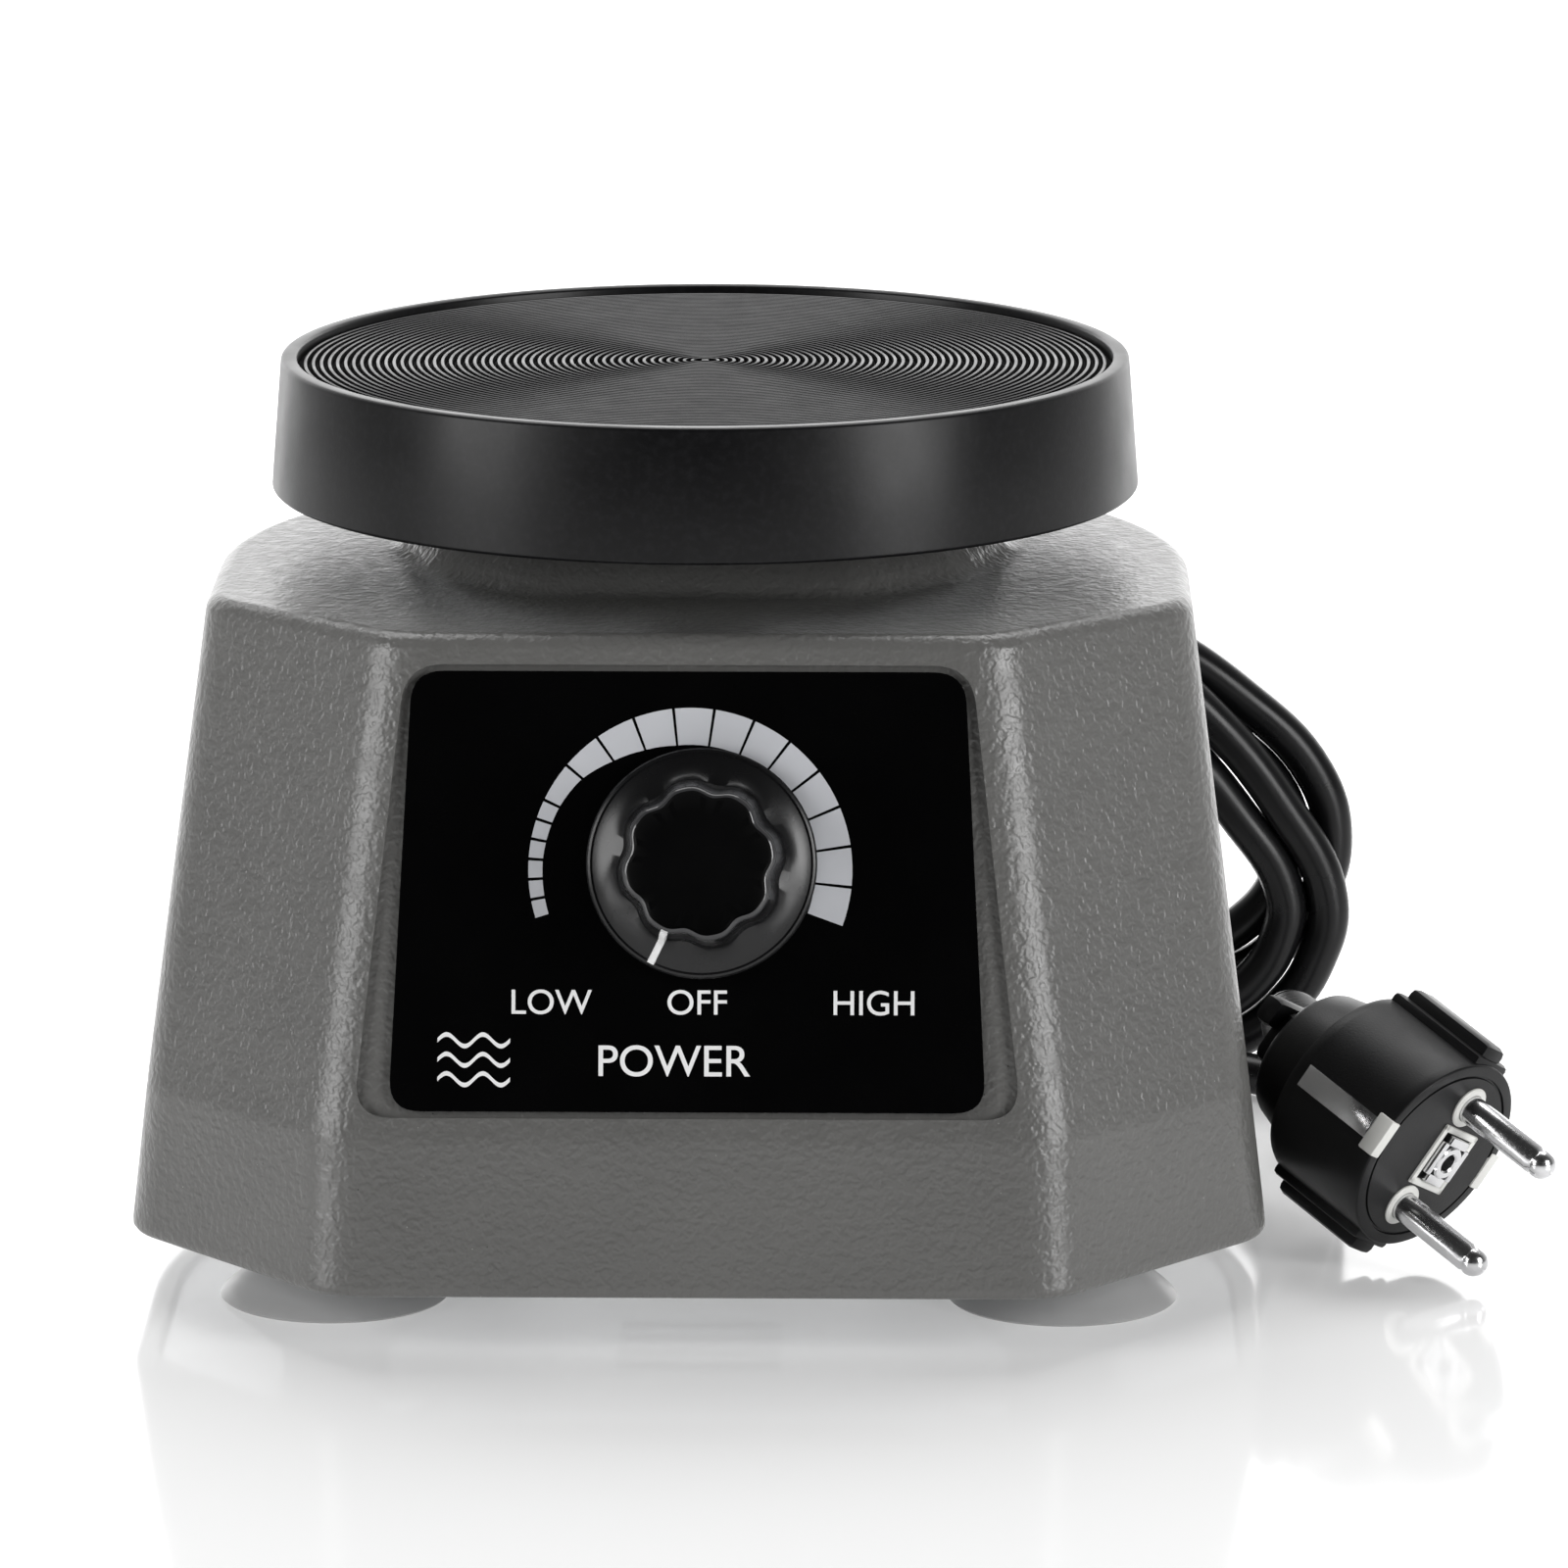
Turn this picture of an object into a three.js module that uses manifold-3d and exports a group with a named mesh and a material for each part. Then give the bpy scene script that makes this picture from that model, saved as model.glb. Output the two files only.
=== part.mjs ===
// Round electromagnetic vibrating table for shaking air bubbles out of wet plaster.
// Millimetres, +Z up. The origin is on the table's axis, at the surface that the feet stand on,
// and the control panel faces -Y.
import * as THREE from 'three';
import { mergeVertices } from 'three/addons/utils/BufferGeometryUtils.js';
import Module from 'manifold-3d';

const wasm = await Module();
wasm.setup();

// ---- driving dimensions ----

const GAP = 0.3; // between pieces that touch
const DEGREES = Math.PI / 180;

// Housing: one casting with a flat leaning front, two cut front corners and a round back
const FOOT_Z = 10.3;
const BAND_Z = 35;
const TOP_Z = 111;
const FOOT_LEVEL = { side: 90.2, front: 94.8, frontHalf: 56.6, cornerY: 57 };
const BAND_LEVEL = { side: 87.2, front: 92.4, frontHalf: 55.6, cornerY: 60 };
const TOP_LEVEL = { side: 77.6, front: 74.6, frontHalf: 46.8, cornerY: 46.5 };
const BACK_CENTRE_Y = -12;
const WALL = 3.5;
const UPRIGHT_FILLET = 14;
const TOP_EDGE = 2.4;
const COLLAR_FOOT_R = 48.3;
const COLLAR_TOP_R = 43;
const COLLAR_HEIGHT = 6;
const BOSS_R = 6;
const BOSS_HEIGHT = 20;

// Base plate, closing the housing from below
const PLATE_RECESS = 1.2;
const PLATE_THICK = 2;
const PLATE_CLEARANCE = 0.5;
const VENT_WIDTH = 3;
const VENT_LENGTH = 26;
const VENT_PITCH = 8;
const VENT_COUNT = 4;
const VENT_Y = -32;

// Suction cups
const CUP_RIM_R = 18.25;
const CUP_LIP = 1.1;
const CUP_WAIST_R = 8.5;
const CUP_SHOULDER = { inset: 3.7, z: 3.7 };
const CUP_NECK = { outset: 1.6, z: 7.2 };
const CUP_SOCKET_DEPTH = 3.6;
const CUP_CROWN = 1.6;
const FRONT_CUP = { x: 57.8, y: -54.5 };
const REAR_CUP = { x: 44, y: 36 };

// Screws
const SCREW_R = 2;
const SCREW_HEAD_R = 3.8;
const SCREW_HEAD_HEIGHT = 2.4;
const FRONT_BOSS = { x: 46, y: -80 };
const REAR_BOSS = { x: 58, y: 38 };
const BASE_SCREW_LENGTH = 14;

// Electromagnet
const CORE_DEPTH = 28;
const CORE_HEIGHT = 42;
const CORE_YOKE = 12;
const SIDE_LEG = 10;
const CENTRE_LEG = 20;
const WINDOW = 14;
const BOBBIN_WALL = 1.2;
const FLANGE_THICK = 1.6;
const CLAMP_THICK = 2.5;
const CLAMP_FOOT = 9;
const AIR_GAP = 1.6;

// Moving table
const ARMATURE_THICK = 8;
const CARRIER = { width: 112, depth: 66, thick: 4 };
const STEM_R = 9;
const STEM_FLANGE_R = 16;
const STEM_FLANGE_THICK = 4;
const STEM_HOLE_R = 12;
const SEAL_R = 17;
const SEAL_HEIGHT = 3;
const TABLE_PLATE_THICK = 6;
const COVER_SKIRT_R = 70;
const COVER_RIM_R = 68.4;
const COVER_RIM_INNER_R = 65.8;
const COVER_RISE = 10.1; // the skirt's lower edge over the housing's top
const COVER_HEIGHT = 21.2;
const COVER_FLOOR_DROP = 2.1;
const COVER_FLOOR_THICK = 6;
const COVER_WALL = 4;
const TABLE_SCREW_R = 2.8;
const TABLE_SCREW_HEAD_R = 6;
const TABLE_SCREW_LENGTH = 16;

// Springs under the table
const SPRING_PLACE = { x: 46, y: 23 };
const SPRING_R = 6;
const SPRING_WIRE_R = 0.9;
const SPRING_TURNS = 4.5;
const POST_R = 8;
const POST_HEIGHT = 26;
const POST_PIN_R = 4;
const POST_PIN_HEIGHT = 10;

// Control panel, knob and potentiometer
const KNOB_X = 1.4;
const KNOB_Z = 76.8;
const RECESS = 1.2;
const RECESS_CLEARANCE = 1;
const RECESS_FLARE = 4.5;
const PANEL_THICK = 0.8;
const PANEL_X = -0.8;
const PANEL_TOP = 29.6;
const PANEL_BOTTOM = -38.4;
const PANEL_TOP_HALF = 42.7;
const PANEL_BOTTOM_HALF = 46.1;
const PANEL_CORNER = 5;
const POT_R = 12;
const POT_DEPTH = 10;
const BUSH_R = 4.6;
const BUSH_LENGTH = 7;
const NUT_R = 7;
const NUT_THICK = 2;
const SHAFT_R = 3;
const KNOB_LIFT = 0.8;
const KNOB_SKIRT_R = 17.8;
const KNOB_SKIRT_EDGE = 1.6;
const KNOB_SKIRT_HEIGHT = 4.4;
const KNOB_GRIP_R = 12.6;
const KNOB_TOP_R = 11.4;
const KNOB_HEIGHT = 17.5;
const KNOB_FLUTES = 8;
const KNOB_FLUTE_DEPTH = 1;
const KNOB_FLUTE_ANGLE = 79 * DEGREES;
const KNOB_BORE_DEPTH = 11;
const SET_SCREW_R = 1.4;

// Control electronics
const BOARD = { width: 84, depth: 34, thick: 1.6, y: -52, rise: 8 };
const PILLAR_R = 3.5;
const PILLAR_X = 36;
const CAPACITOR = { width: 26, depth: 10, height: 17, x: 20, y: -58 };
const TRIAC = { width: 16, depth: 5, height: 20, x: -20, y: -56 };
const TERMINAL = { width: 30, depth: 16, height: 14, x: 0, y: 40 };
const EARTH_SCREW = { x: -32, y: 46 };
const WIRES_R = 1.5;
const INNER_LEAD_R = 2.6;
const HEAT_SINK = { overhang: 12, thick: 1.6, rise: 8 };

// Mains lead, its gland and its strain relief
const LEAD_R = 3.5;
const GLAND_Z = 28;
const GLAND_R = 7.5;
const GLAND_HEX_R = 11;
const GLAND_HEX_THICK = 4;
const GLAND_BOSS_R = 13;
const GLAND_BOSS_PROUD = 0.97;
const GLAND_THREAD_END = 1; // the thread past its nut
const GLAND_NUT_THICK = 3.5;
const BOOT_LENGTH = 19.05;
const BOOT_SHOULDER_LENGTH = 3;
const BOOT_CORE_R = 5.8;
const BOOT_SHOULDER_R = 7.6;
const BOOT_TIP_R = 4.5;

// Wound part of the lead: two layers of two turns, tied at one end and fanned out at the other
const COIL_TIE_CENTRE = { x: 52.9, up: 59.2 };
const COIL_FLOOR_Y = 86;
const COIL_LEAN = 8 * DEGREES;
const COIL_SLOPE = -48 * DEGREES;
const COIL_FAN = 14 * DEGREES;
const COIL_PITCH = 7.3;
const COIL_BEND_R = 28.3;
const COIL_FRONT_SPAN = 36;
const COIL_BACK_SPAN = 30;
const TIE_WIDTH = 5;
const TIE_THICK = 1.4;

// Plug, lying on the floor with its two pins pointing down to the front right
const PLUG_FACE = { x: 117.6, y: -37, z: 18.6 };
const PLUG_HEADING = -45 * DEGREES;
const PLUG_DIP = 22.5 * DEGREES;
const PLUG_ROLL = -26.4 * DEGREES;
const PLUG_R = 17;
const PLUG_BARREL = 21;
const PLUG_BACK_LENGTH = 11;
const PLUG_BACK_R = 11.5;
const PLUG_RIB = { width: 9, rise: 1.8 };
const PLUG_NECK_ANGLE = 46 * DEGREES;
const PLUG_NECK_START = 27;
const PLUG_NECK_LENGTH = 34;
const PLUG_NECK_R = 7.5;
const PLUG_NECK_TIP_R = 4.6;
const PIN_R = 2.4;
const PIN_LENGTH = 19;
const PIN_SPACING = 19;
const PIN_ROOT = 5;

// ---- levels and places that follow from them ----

const PLATE_Z = FOOT_Z + PLATE_RECESS;
const PLATE_TOP = PLATE_Z + PLATE_THICK;
const INSIDE_Z = PLATE_TOP + GAP;
const FRONT_LEAN = Math.atan((BAND_LEVEL.front - TOP_LEVEL.front) / (TOP_Z - BAND_Z));
const CORE_TOP = INSIDE_Z + CORE_HEIGHT;
const CORE_WIDTH = CENTRE_LEG + 2 * WINDOW + 2 * SIDE_LEG;
const ARMATURE_Z = CORE_TOP + AIR_GAP;
const CARRIER_Z = ARMATURE_Z + ARMATURE_THICK + GAP;
const STEM_Z = CARRIER_Z + CARRIER.thick + GAP;
const COVER_SKIRT_Z = TOP_Z + COVER_RISE;
const COVER_RIM_Z = COVER_SKIRT_Z + COVER_HEIGHT;
const COVER_FLOOR_Z = COVER_RIM_Z - COVER_FLOOR_DROP;
const TABLE_PLATE_TOP = COVER_FLOOR_Z - COVER_FLOOR_THICK - GAP;
const TABLE_PLATE_Z = TABLE_PLATE_TOP - TABLE_PLATE_THICK;
const TABLE_PLATE_R = COVER_RIM_R - COVER_WALL - GAP;
const COLLAR_TOP = TOP_Z + COLLAR_HEIGHT;
const COIL_INNER_BEND_R = COIL_BEND_R - COIL_PITCH;
const GLAND_BOSS_Y = BACK_CENTRE_Y + levelAt(GLAND_Z - GLAND_BOSS_R).side + GLAND_BOSS_PROUD;
const BOOT_TIP_Y = GLAND_BOSS_Y + GLAND_HEX_THICK + 2 * GAP + BOOT_LENGTH;
const GLAND_BOSS_INSIDE_Y = BACK_CENTRE_Y + BAND_LEVEL.side - WALL - 2;

// ---- materials ----

const finish = (color, roughness, metalness) => (
  new THREE.MeshStandardMaterial({ color, roughness, metalness })
);
const greyPaint = finish(0x6b6a66, 0.45, 0.1);
const blackRubber = finish(0x141416, 0.6, 0);
const greyRubber = finish(0x8e8f90, 0.5, 0);
const blackPlastic = finish(0x121214, 0.4, 0);
const panelPlastic = finish(0x0b0b0d, 0.35, 0);
const whitePlastic = finish(0xd8d8d4, 0.5, 0);
const steel = finish(0xa8aaad, 0.35, 1);
const nickel = finish(0xd0d2d4, 0.15, 1);
const aluminium = finish(0xb6b8ba, 0.4, 1);
const laminated = finish(0x55585c, 0.5, 1);
const copper = finish(0xb06a3a, 0.35, 1);
const boardGreen = finish(0x1f5a34, 0.5, 0);
const capacitorYellow = finish(0xb9a23a, 0.4, 0);
const wireRed = finish(0xa03020, 0.5, 0);

// ---- solids ----

function toSolid(geometry) {
  const bare = geometry.clone();
  bare.deleteAttribute('normal');
  bare.deleteAttribute('uv');
  const merged = mergeVertices(bare, 1e-4);
  const vertProperties = new Float32Array(merged.attributes.position.array);
  const triVerts = new Uint32Array(merged.index.array);
  return new wasm.Manifold(new wasm.Mesh({ numProp: 3, vertProperties, triVerts }));
}

function toGeometry(solid) {
  const mesh = solid.getMesh();
  const geometry = new THREE.BufferGeometry();
  geometry.setAttribute('position', new THREE.BufferAttribute(mesh.vertProperties, 3));
  geometry.setIndex(new THREE.BufferAttribute(mesh.triVerts, 1));
  geometry.computeVertexNormals();
  return geometry;
}

function join(...geometries) {
  return toGeometry(geometries.map(toSolid).reduce((whole, piece) => whole.add(piece)));
}

function cut(geometry, ...tools) {
  return toGeometry(tools.map(toSolid).reduce((left, tool) => left.subtract(tool), toSolid(geometry)));
}

// A block centred on the Z axis, standing at height z
function block(width, depth, height, z = 0) {
  return new THREE.BoxGeometry(width, depth, height).translate(0, 0, z + height / 2);
}

// A rod along Z, starting at height z
function rod(radius, length, z = 0, sides = 24) {
  const cylinder = new THREE.CylinderGeometry(radius, radius, length, sides);
  return cylinder.rotateX(90 * DEGREES).translate(0, 0, z + length / 2);
}

// A turned piece: its half section runs up the outside, as [radius, height] pairs
function turned(profile, sides = 32) {
  const points = profile.map(([radius, height]) => new THREE.Vector2(radius, height));
  return new THREE.LatheGeometry(points, sides).rotateX(90 * DEGREES);
}

function extruded(shape, depth, z = 0, curveSegments = 6) {
  return new THREE.ExtrudeGeometry(shape, { depth, bevelEnabled: false, curveSegments }).translate(0, 0, z);
}

// A rectangular frame, such as a flange or a winding
function frame(outerWidth, outerDepth, innerWidth, innerDepth, height, z) {
  return cut(
    block(outerWidth, outerDepth, height, z),
    block(innerWidth, innerDepth, height + 2, z - 1),
  );
}

// A round tube that follows a smooth curve through the points
function tube(points, radius, steps, sides = 8) {
  const section = new THREE.Shape(
    Array.from({ length: sides }, (_, side) => {
      const angle = (side / sides) * 2 * Math.PI;
      return new THREE.Vector2(radius * Math.cos(angle), radius * Math.sin(angle));
    }),
  );
  const extrudePath = new THREE.CatmullRomCurve3(points.map((point) => new THREE.Vector3(...point)));
  return new THREE.ExtrudeGeometry(section, { steps, extrudePath, curveSegments: 1 });
}

// A closed solid skinned over sections of equal point counts, lowest first
function lofted(sections) {
  const count = sections[0].length;
  const positions = sections.flat().flatMap((point) => point.toArray());
  const index = [];
  for (let row = 0; row + 1 < sections.length; row += 1) {
    for (let column = 0; column < count; column += 1) {
      const next = (column + 1) % count;
      const [a, b] = [row * count + column, row * count + next];
      index.push(a, b, b + count, a, b + count, a + count);
    }
  }
  const flat = sections[0].map((point) => new THREE.Vector2(point.x, point.y));
  const lastRow = (sections.length - 1) * count;
  for (const [a, b, c] of THREE.ShapeUtils.triangulateShape(flat, [])) {
    index.push(a, c, b, lastRow + a, lastRow + b, lastRow + c);
  }
  const geometry = new THREE.BufferGeometry();
  geometry.setAttribute('position', new THREE.Float32BufferAttribute(positions, 3));
  geometry.setIndex(index);
  return geometry;
}

// ---- housing outline ----

function mixLevels(low, high, share) {
  const mixed = {};
  for (const key of Object.keys(low)) mixed[key] = THREE.MathUtils.lerp(low[key], high[key], share);
  return mixed;
}

function levelAt(z) {
  if (z < BAND_Z) return mixLevels(FOOT_LEVEL, BAND_LEVEL, (z - FOOT_Z) / (BAND_Z - FOOT_Z));
  return mixLevels(BAND_LEVEL, TOP_LEVEL, (z - BAND_Z) / (TOP_Z - BAND_Z));
}

// The outer face of the leaning front, above the band
function frontY(z) {
  return -levelAt(z).front;
}

// The housing's plan at a height, drawn in from the outside by inset, anticlockwise from the front left
function plan(z, inset) {
  const level = levelAt(z);
  const shorten = inset * Math.tan(22.5 * DEGREES);
  const side = level.side - inset;
  const front = level.front - inset;
  const frontHalf = level.frontHalf - shorten;
  const cornerY = level.cornerY - shorten;
  const corners = [[-side, -cornerY], [-frontHalf, -front], [frontHalf, -front], [side, -cornerY]];
  const vertices = corners.map(([x, y]) => new THREE.Vector2(x, y));
  const before = [new THREE.Vector2(-side, BACK_CENTRE_Y), ...vertices.slice(0, 3)];
  const after = [...vertices.slice(1), new THREE.Vector2(side, BACK_CENTRE_Y)];
  const reach = UPRIGHT_FILLET * Math.tan(22.5 * DEGREES);
  const points = vertices.flatMap((corner, at) => {
    const start = corner.clone().add(before[at].clone().sub(corner).setLength(reach));
    const end = corner.clone().add(after[at].clone().sub(corner).setLength(reach));
    return new THREE.QuadraticBezierCurve(start, corner, end).getPoints(4);
  });
  const back = new THREE.EllipseCurve(0, BACK_CENTRE_Y, side, side, 0, Math.PI).getPoints(32);
  return [...points, ...back];
}

function section(z, inset) {
  return plan(z, inset).map((point) => new THREE.Vector3(point.x, point.y, z));
}

// ---- frame of the leaning front: X to the right, Y up the slope, Z out of the panel ----

const frontFrame = new THREE.Matrix4().makeRotationX(90 * DEGREES - FRONT_LEAN);
frontFrame.setPosition(0, frontY(KNOB_Z), KNOB_Z);

function trapezium(topHalf, bottomHalf, top, bottom, radius) {
  const corners = [[-bottomHalf, bottom], [bottomHalf, bottom], [topHalf, top], [-topHalf, top]];
  const vertices = corners.map(([x, y]) => new THREE.Vector2(x, y));
  const shape = new THREE.Shape();
  vertices.forEach((corner, at) => {
    const start = corner.clone().add(vertices[(at + 3) % 4].clone().sub(corner).setLength(radius));
    const end = corner.clone().add(vertices[(at + 1) % 4].clone().sub(corner).setLength(radius));
    if (at === 0) shape.moveTo(start.x, start.y);
    else shape.lineTo(start.x, start.y);
    shape.quadraticCurveTo(corner.x, corner.y, end.x, end.y);
  });
  shape.closePath();
  return shape;
}

// ---- scene graph ----

const group = new THREE.Group();

function place(name, geometry, material, parent = group, x = 0, y = 0, z = 0) {
  const mesh = new THREE.Mesh(geometry, material);
  mesh.name = name;
  mesh.position.set(x, y, z);
  parent.add(mesh);
  return mesh;
}

const quarters = [[-1, -1], [1, -1], [-1, 1], [1, 1]];

// The places of the four screws or cups, from a front and a rear place
function cornerPlaces(front, rear) {
  return quarters.map(([sideways, backward]) => {
    const corner = backward < 0 ? front : rear;
    return [sideways * corner.x, corner.y];
  });
}

const bossPlaces = cornerPlaces(FRONT_BOSS, REAR_BOSS);
const cupPlaces = cornerPlaces(FRONT_CUP, REAR_CUP);
const springPlaces = quarters.map(([x, y]) => [x * SPRING_PLACE.x, y * SPRING_PLACE.y]);

function addHousing() {
  const outside = lofted([
    section(FOOT_Z, 0),
    section(BAND_Z, 0),
    section(TOP_Z - TOP_EDGE, 0),
    section(TOP_Z - TOP_EDGE / 3, TOP_EDGE / 3),
    section(TOP_Z, TOP_EDGE),
  ]);
  const cavity = lofted([
    section(FOOT_Z - 1, WALL),
    section(PLATE_TOP, WALL),
    section(BAND_Z, WALL),
    section(TOP_Z - WALL, WALL),
  ]);
  const collar = turned([
    [0, TOP_Z - 1],
    [COLLAR_FOOT_R + 1 / COLLAR_HEIGHT, TOP_Z - 1],
    [COLLAR_FOOT_R, TOP_Z],
    [COLLAR_TOP_R, COLLAR_TOP],
    [0, COLLAR_TOP],
  ], 48);
  const glandBoss = rod(GLAND_BOSS_R, GLAND_BOSS_Y - GLAND_BOSS_INSIDE_Y);
  glandBoss.rotateX(90 * DEGREES).translate(0, GLAND_BOSS_Y, GLAND_Z);
  const bosses = bossPlaces.map(([x, y]) => (
    rod(BOSS_R, BOSS_HEIGHT, INSIDE_Z, 16).translate(x, y, 0)
  ));
  const bossWebs = bossPlaces.map(([x, y]) => (
    block(BOSS_R, BOSS_R * 3, BOSS_HEIGHT, INSIDE_Z).translate(0, BOSS_R * 1.5, 0)
      .rotateZ(Math.atan2(y - BACK_CENTRE_Y, x) - 90 * DEGREES).translate(x, y, 0)
  ));
  const recess = extruded(trapezium(
    PANEL_TOP_HALF + RECESS_CLEARANCE,
    PANEL_BOTTOM_HALF + RECESS_CLEARANCE + RECESS_FLARE,
    PANEL_TOP + RECESS_CLEARANCE,
    PANEL_BOTTOM - RECESS_CLEARANCE,
    PANEL_CORNER + RECESS_CLEARANCE,
  ), RECESS + 3, -RECESS).translate(PANEL_X, 0, 0).applyMatrix4(frontFrame);
  const bushHole = rod(BUSH_R + GAP, WALL * 3, -WALL * 2).translate(KNOB_X, 0, 0).applyMatrix4(frontFrame);
  const glandHole = rod(GLAND_R + GAP, WALL * 8).rotateX(90 * DEGREES).translate(0, GLAND_BOSS_Y + 1, GLAND_Z);
  const screwHoles = bossPlaces.map(([x, y]) => (
    rod(SCREW_R + GAP, BASE_SCREW_LENGTH, INSIDE_Z - 1, 12).translate(x, y, 0)
  ));
  const shell = cut(join(outside, collar), cavity);
  const trimmed = toGeometry(
    [...bosses, ...bossWebs].map(toSolid).reduce((all, piece) => all.add(piece)).intersect(toSolid(outside)),
  );
  const cast = join(shell, trimmed, glandBoss);
  const bored = cut(
    cast, recess, bushHole, glandHole, rod(STEM_HOLE_R, COLLAR_HEIGHT * 4, TOP_Z - WALL * 2), ...screwHoles,
  );
  place('housing', bored, greyPaint);
}

function addBasePlate() {
  const outline = new THREE.Shape(plan(PLATE_TOP, WALL + PLATE_CLEARANCE));
  const holes = [...bossPlaces, ...cupPlaces].map(([x, y]) => (
    rod(SCREW_R + GAP, PLATE_THICK * 3, PLATE_Z - PLATE_THICK, 16).translate(x, y, 0)
  ));
  const vents = Array.from({ length: VENT_COUNT }, (_, at) => (
    block(VENT_LENGTH, VENT_WIDTH, PLATE_THICK * 3, PLATE_Z - PLATE_THICK)
      .translate(0, VENT_Y - at * VENT_PITCH, 0)
  ));
  place('base_plate', cut(extruded(outline, PLATE_THICK, PLATE_Z), ...holes, ...vents), steel);
}

// A screw with its head at the bottom end, shank upwards
function screw(radius, headRadius, headHeight, length) {
  return turned([
    [0, -headHeight],
    [headRadius * 0.8, -headHeight],
    [headRadius, -headHeight * 0.5],
    [headRadius, 0],
    [radius, 0],
    [radius, length],
    [0, length],
  ], 12);
}

function addBaseScrews() {
  bossPlaces.forEach(([x, y], at) => {
    const geometry = screw(SCREW_R, SCREW_HEAD_R, SCREW_HEAD_HEIGHT / 2, BASE_SCREW_LENGTH);
    place(`base_screw_${at + 1}`, geometry, steel, group, x, y, PLATE_Z - GAP);
  });
}

function addSuctionCups() {
  const top = PLATE_Z - GAP;
  const socketFloor = top - CUP_SOCKET_DEPTH;
  const hollow = socketFloor - CUP_CROWN;
  const cup = turned([
    [0, hollow],
    [CUP_WAIST_R * 0.7, hollow - 0.6],
    [CUP_RIM_R - CUP_LIP, 0],
    [CUP_RIM_R, 0],
    [CUP_RIM_R - CUP_SHOULDER.inset, CUP_SHOULDER.z],
    [CUP_WAIST_R + CUP_NECK.outset, CUP_NECK.z],
    [CUP_WAIST_R, top],
    [SCREW_R + GAP, top],
    [SCREW_R + GAP, socketFloor],
    [0, socketFloor],
  ], 28);
  cupPlaces.forEach(([x, y], at) => {
    place(`suction_cup_${at + 1}`, cup, greyRubber, group, x, y);
    const shank = PLATE_TOP + GAP - socketFloor - GAP;
    const fixing = screw(SCREW_R, SCREW_HEAD_R, SCREW_HEAD_HEIGHT, shank).rotateX(180 * DEGREES);
    place(`cup_screw_${at + 1}`, fixing, steel, group, x, y, PLATE_TOP + GAP);
  });
}

function addMagnet() {
  const windowHeight = CORE_HEIGHT - CORE_YOKE;
  const windowX = (CENTRE_LEG + WINDOW) / 2;
  const window = () => block(WINDOW, CORE_DEPTH + 2, windowHeight + 1, INSIDE_Z + CORE_YOKE);
  const core = cut(
    block(CORE_WIDTH, CORE_DEPTH, CORE_HEIGHT, INSIDE_Z),
    window().translate(windowX, 0, 0),
    window().translate(-windowX, 0, 0),
  );
  place('magnet_core', core, laminated);

  const z = INSIDE_Z + CORE_YOKE + GAP;
  const height = windowHeight - 2 * GAP;
  const holeWidth = CENTRE_LEG + 2 * GAP;
  const holeDepth = CORE_DEPTH + 2 * GAP;
  const sleeveWidth = holeWidth + 2 * BOBBIN_WALL;
  const sleeveDepth = holeDepth + 2 * BOBBIN_WALL;
  const flangeWidth = CENTRE_LEG + 2 * (WINDOW - GAP);
  const flangeDepth = CORE_DEPTH + 2 * (WINDOW - GAP);
  const bobbin = join(
    frame(sleeveWidth, sleeveDepth, holeWidth, holeDepth, height, z),
    frame(flangeWidth, flangeDepth, holeWidth, holeDepth, FLANGE_THICK, z),
    frame(flangeWidth, flangeDepth, holeWidth, holeDepth, FLANGE_THICK, z + height - FLANGE_THICK),
  );
  place('coil_bobbin', bobbin, whitePlastic);
  const winding = frame(
    flangeWidth - 2, flangeDepth - 2, sleeveWidth + 2 * GAP, sleeveDepth + 2 * GAP,
    height - 2 * FLANGE_THICK - 2 * GAP, z + FLANGE_THICK + GAP,
  );
  place('copper_winding', winding, copper);

  for (const [side, name] of [[-1, 'left'], [1, 'right']]) {
    const upright = block(CLAMP_THICK, CORE_DEPTH, CORE_HEIGHT * 0.6, INSIDE_Z);
    const foot = block(CLAMP_FOOT, CORE_DEPTH, CLAMP_THICK, INSIDE_Z)
      .translate(side * (CLAMP_FOOT - CLAMP_THICK) / 2, 0, 0);
    const clampX = side * (CORE_WIDTH / 2 + GAP + CLAMP_THICK / 2);
    place(`core_clamp_${name}`, join(upright, foot), steel, group, clampX);
  }
}

function springGeometry(height) {
  const stepsPerTurn = 8;
  const steps = SPRING_TURNS * stepsPerTurn;
  const rise = height - 2 * SPRING_WIRE_R;
  const points = Array.from({ length: steps + 1 }, (_, step) => {
    const angle = (step / stepsPerTurn) * 2 * Math.PI;
    const z = SPRING_WIRE_R + (rise * step) / steps;
    return [SPRING_R * Math.cos(angle), SPRING_R * Math.sin(angle), z];
  });
  return tube(points, SPRING_WIRE_R, steps, 6);
}

function addSprings() {
  const postTop = INSIDE_Z + POST_HEIGHT;
  const post = turned([
    [0, INSIDE_Z],
    [POST_R, INSIDE_Z],
    [POST_R, postTop],
    [POST_PIN_R, postTop],
    [POST_PIN_R, postTop + POST_PIN_HEIGHT],
    [0, postTop + POST_PIN_HEIGHT],
  ], 20);
  const height = CARRIER_Z - postTop - 4 * GAP;
  springPlaces.forEach(([x, y], at) => {
    place(`spring_post_${at + 1}`, post, aluminium, group, x, y);
    place(`table_spring_${at + 1}`, springGeometry(height), steel, group, x, y, postTop + 2 * GAP);
  });
}

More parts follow.
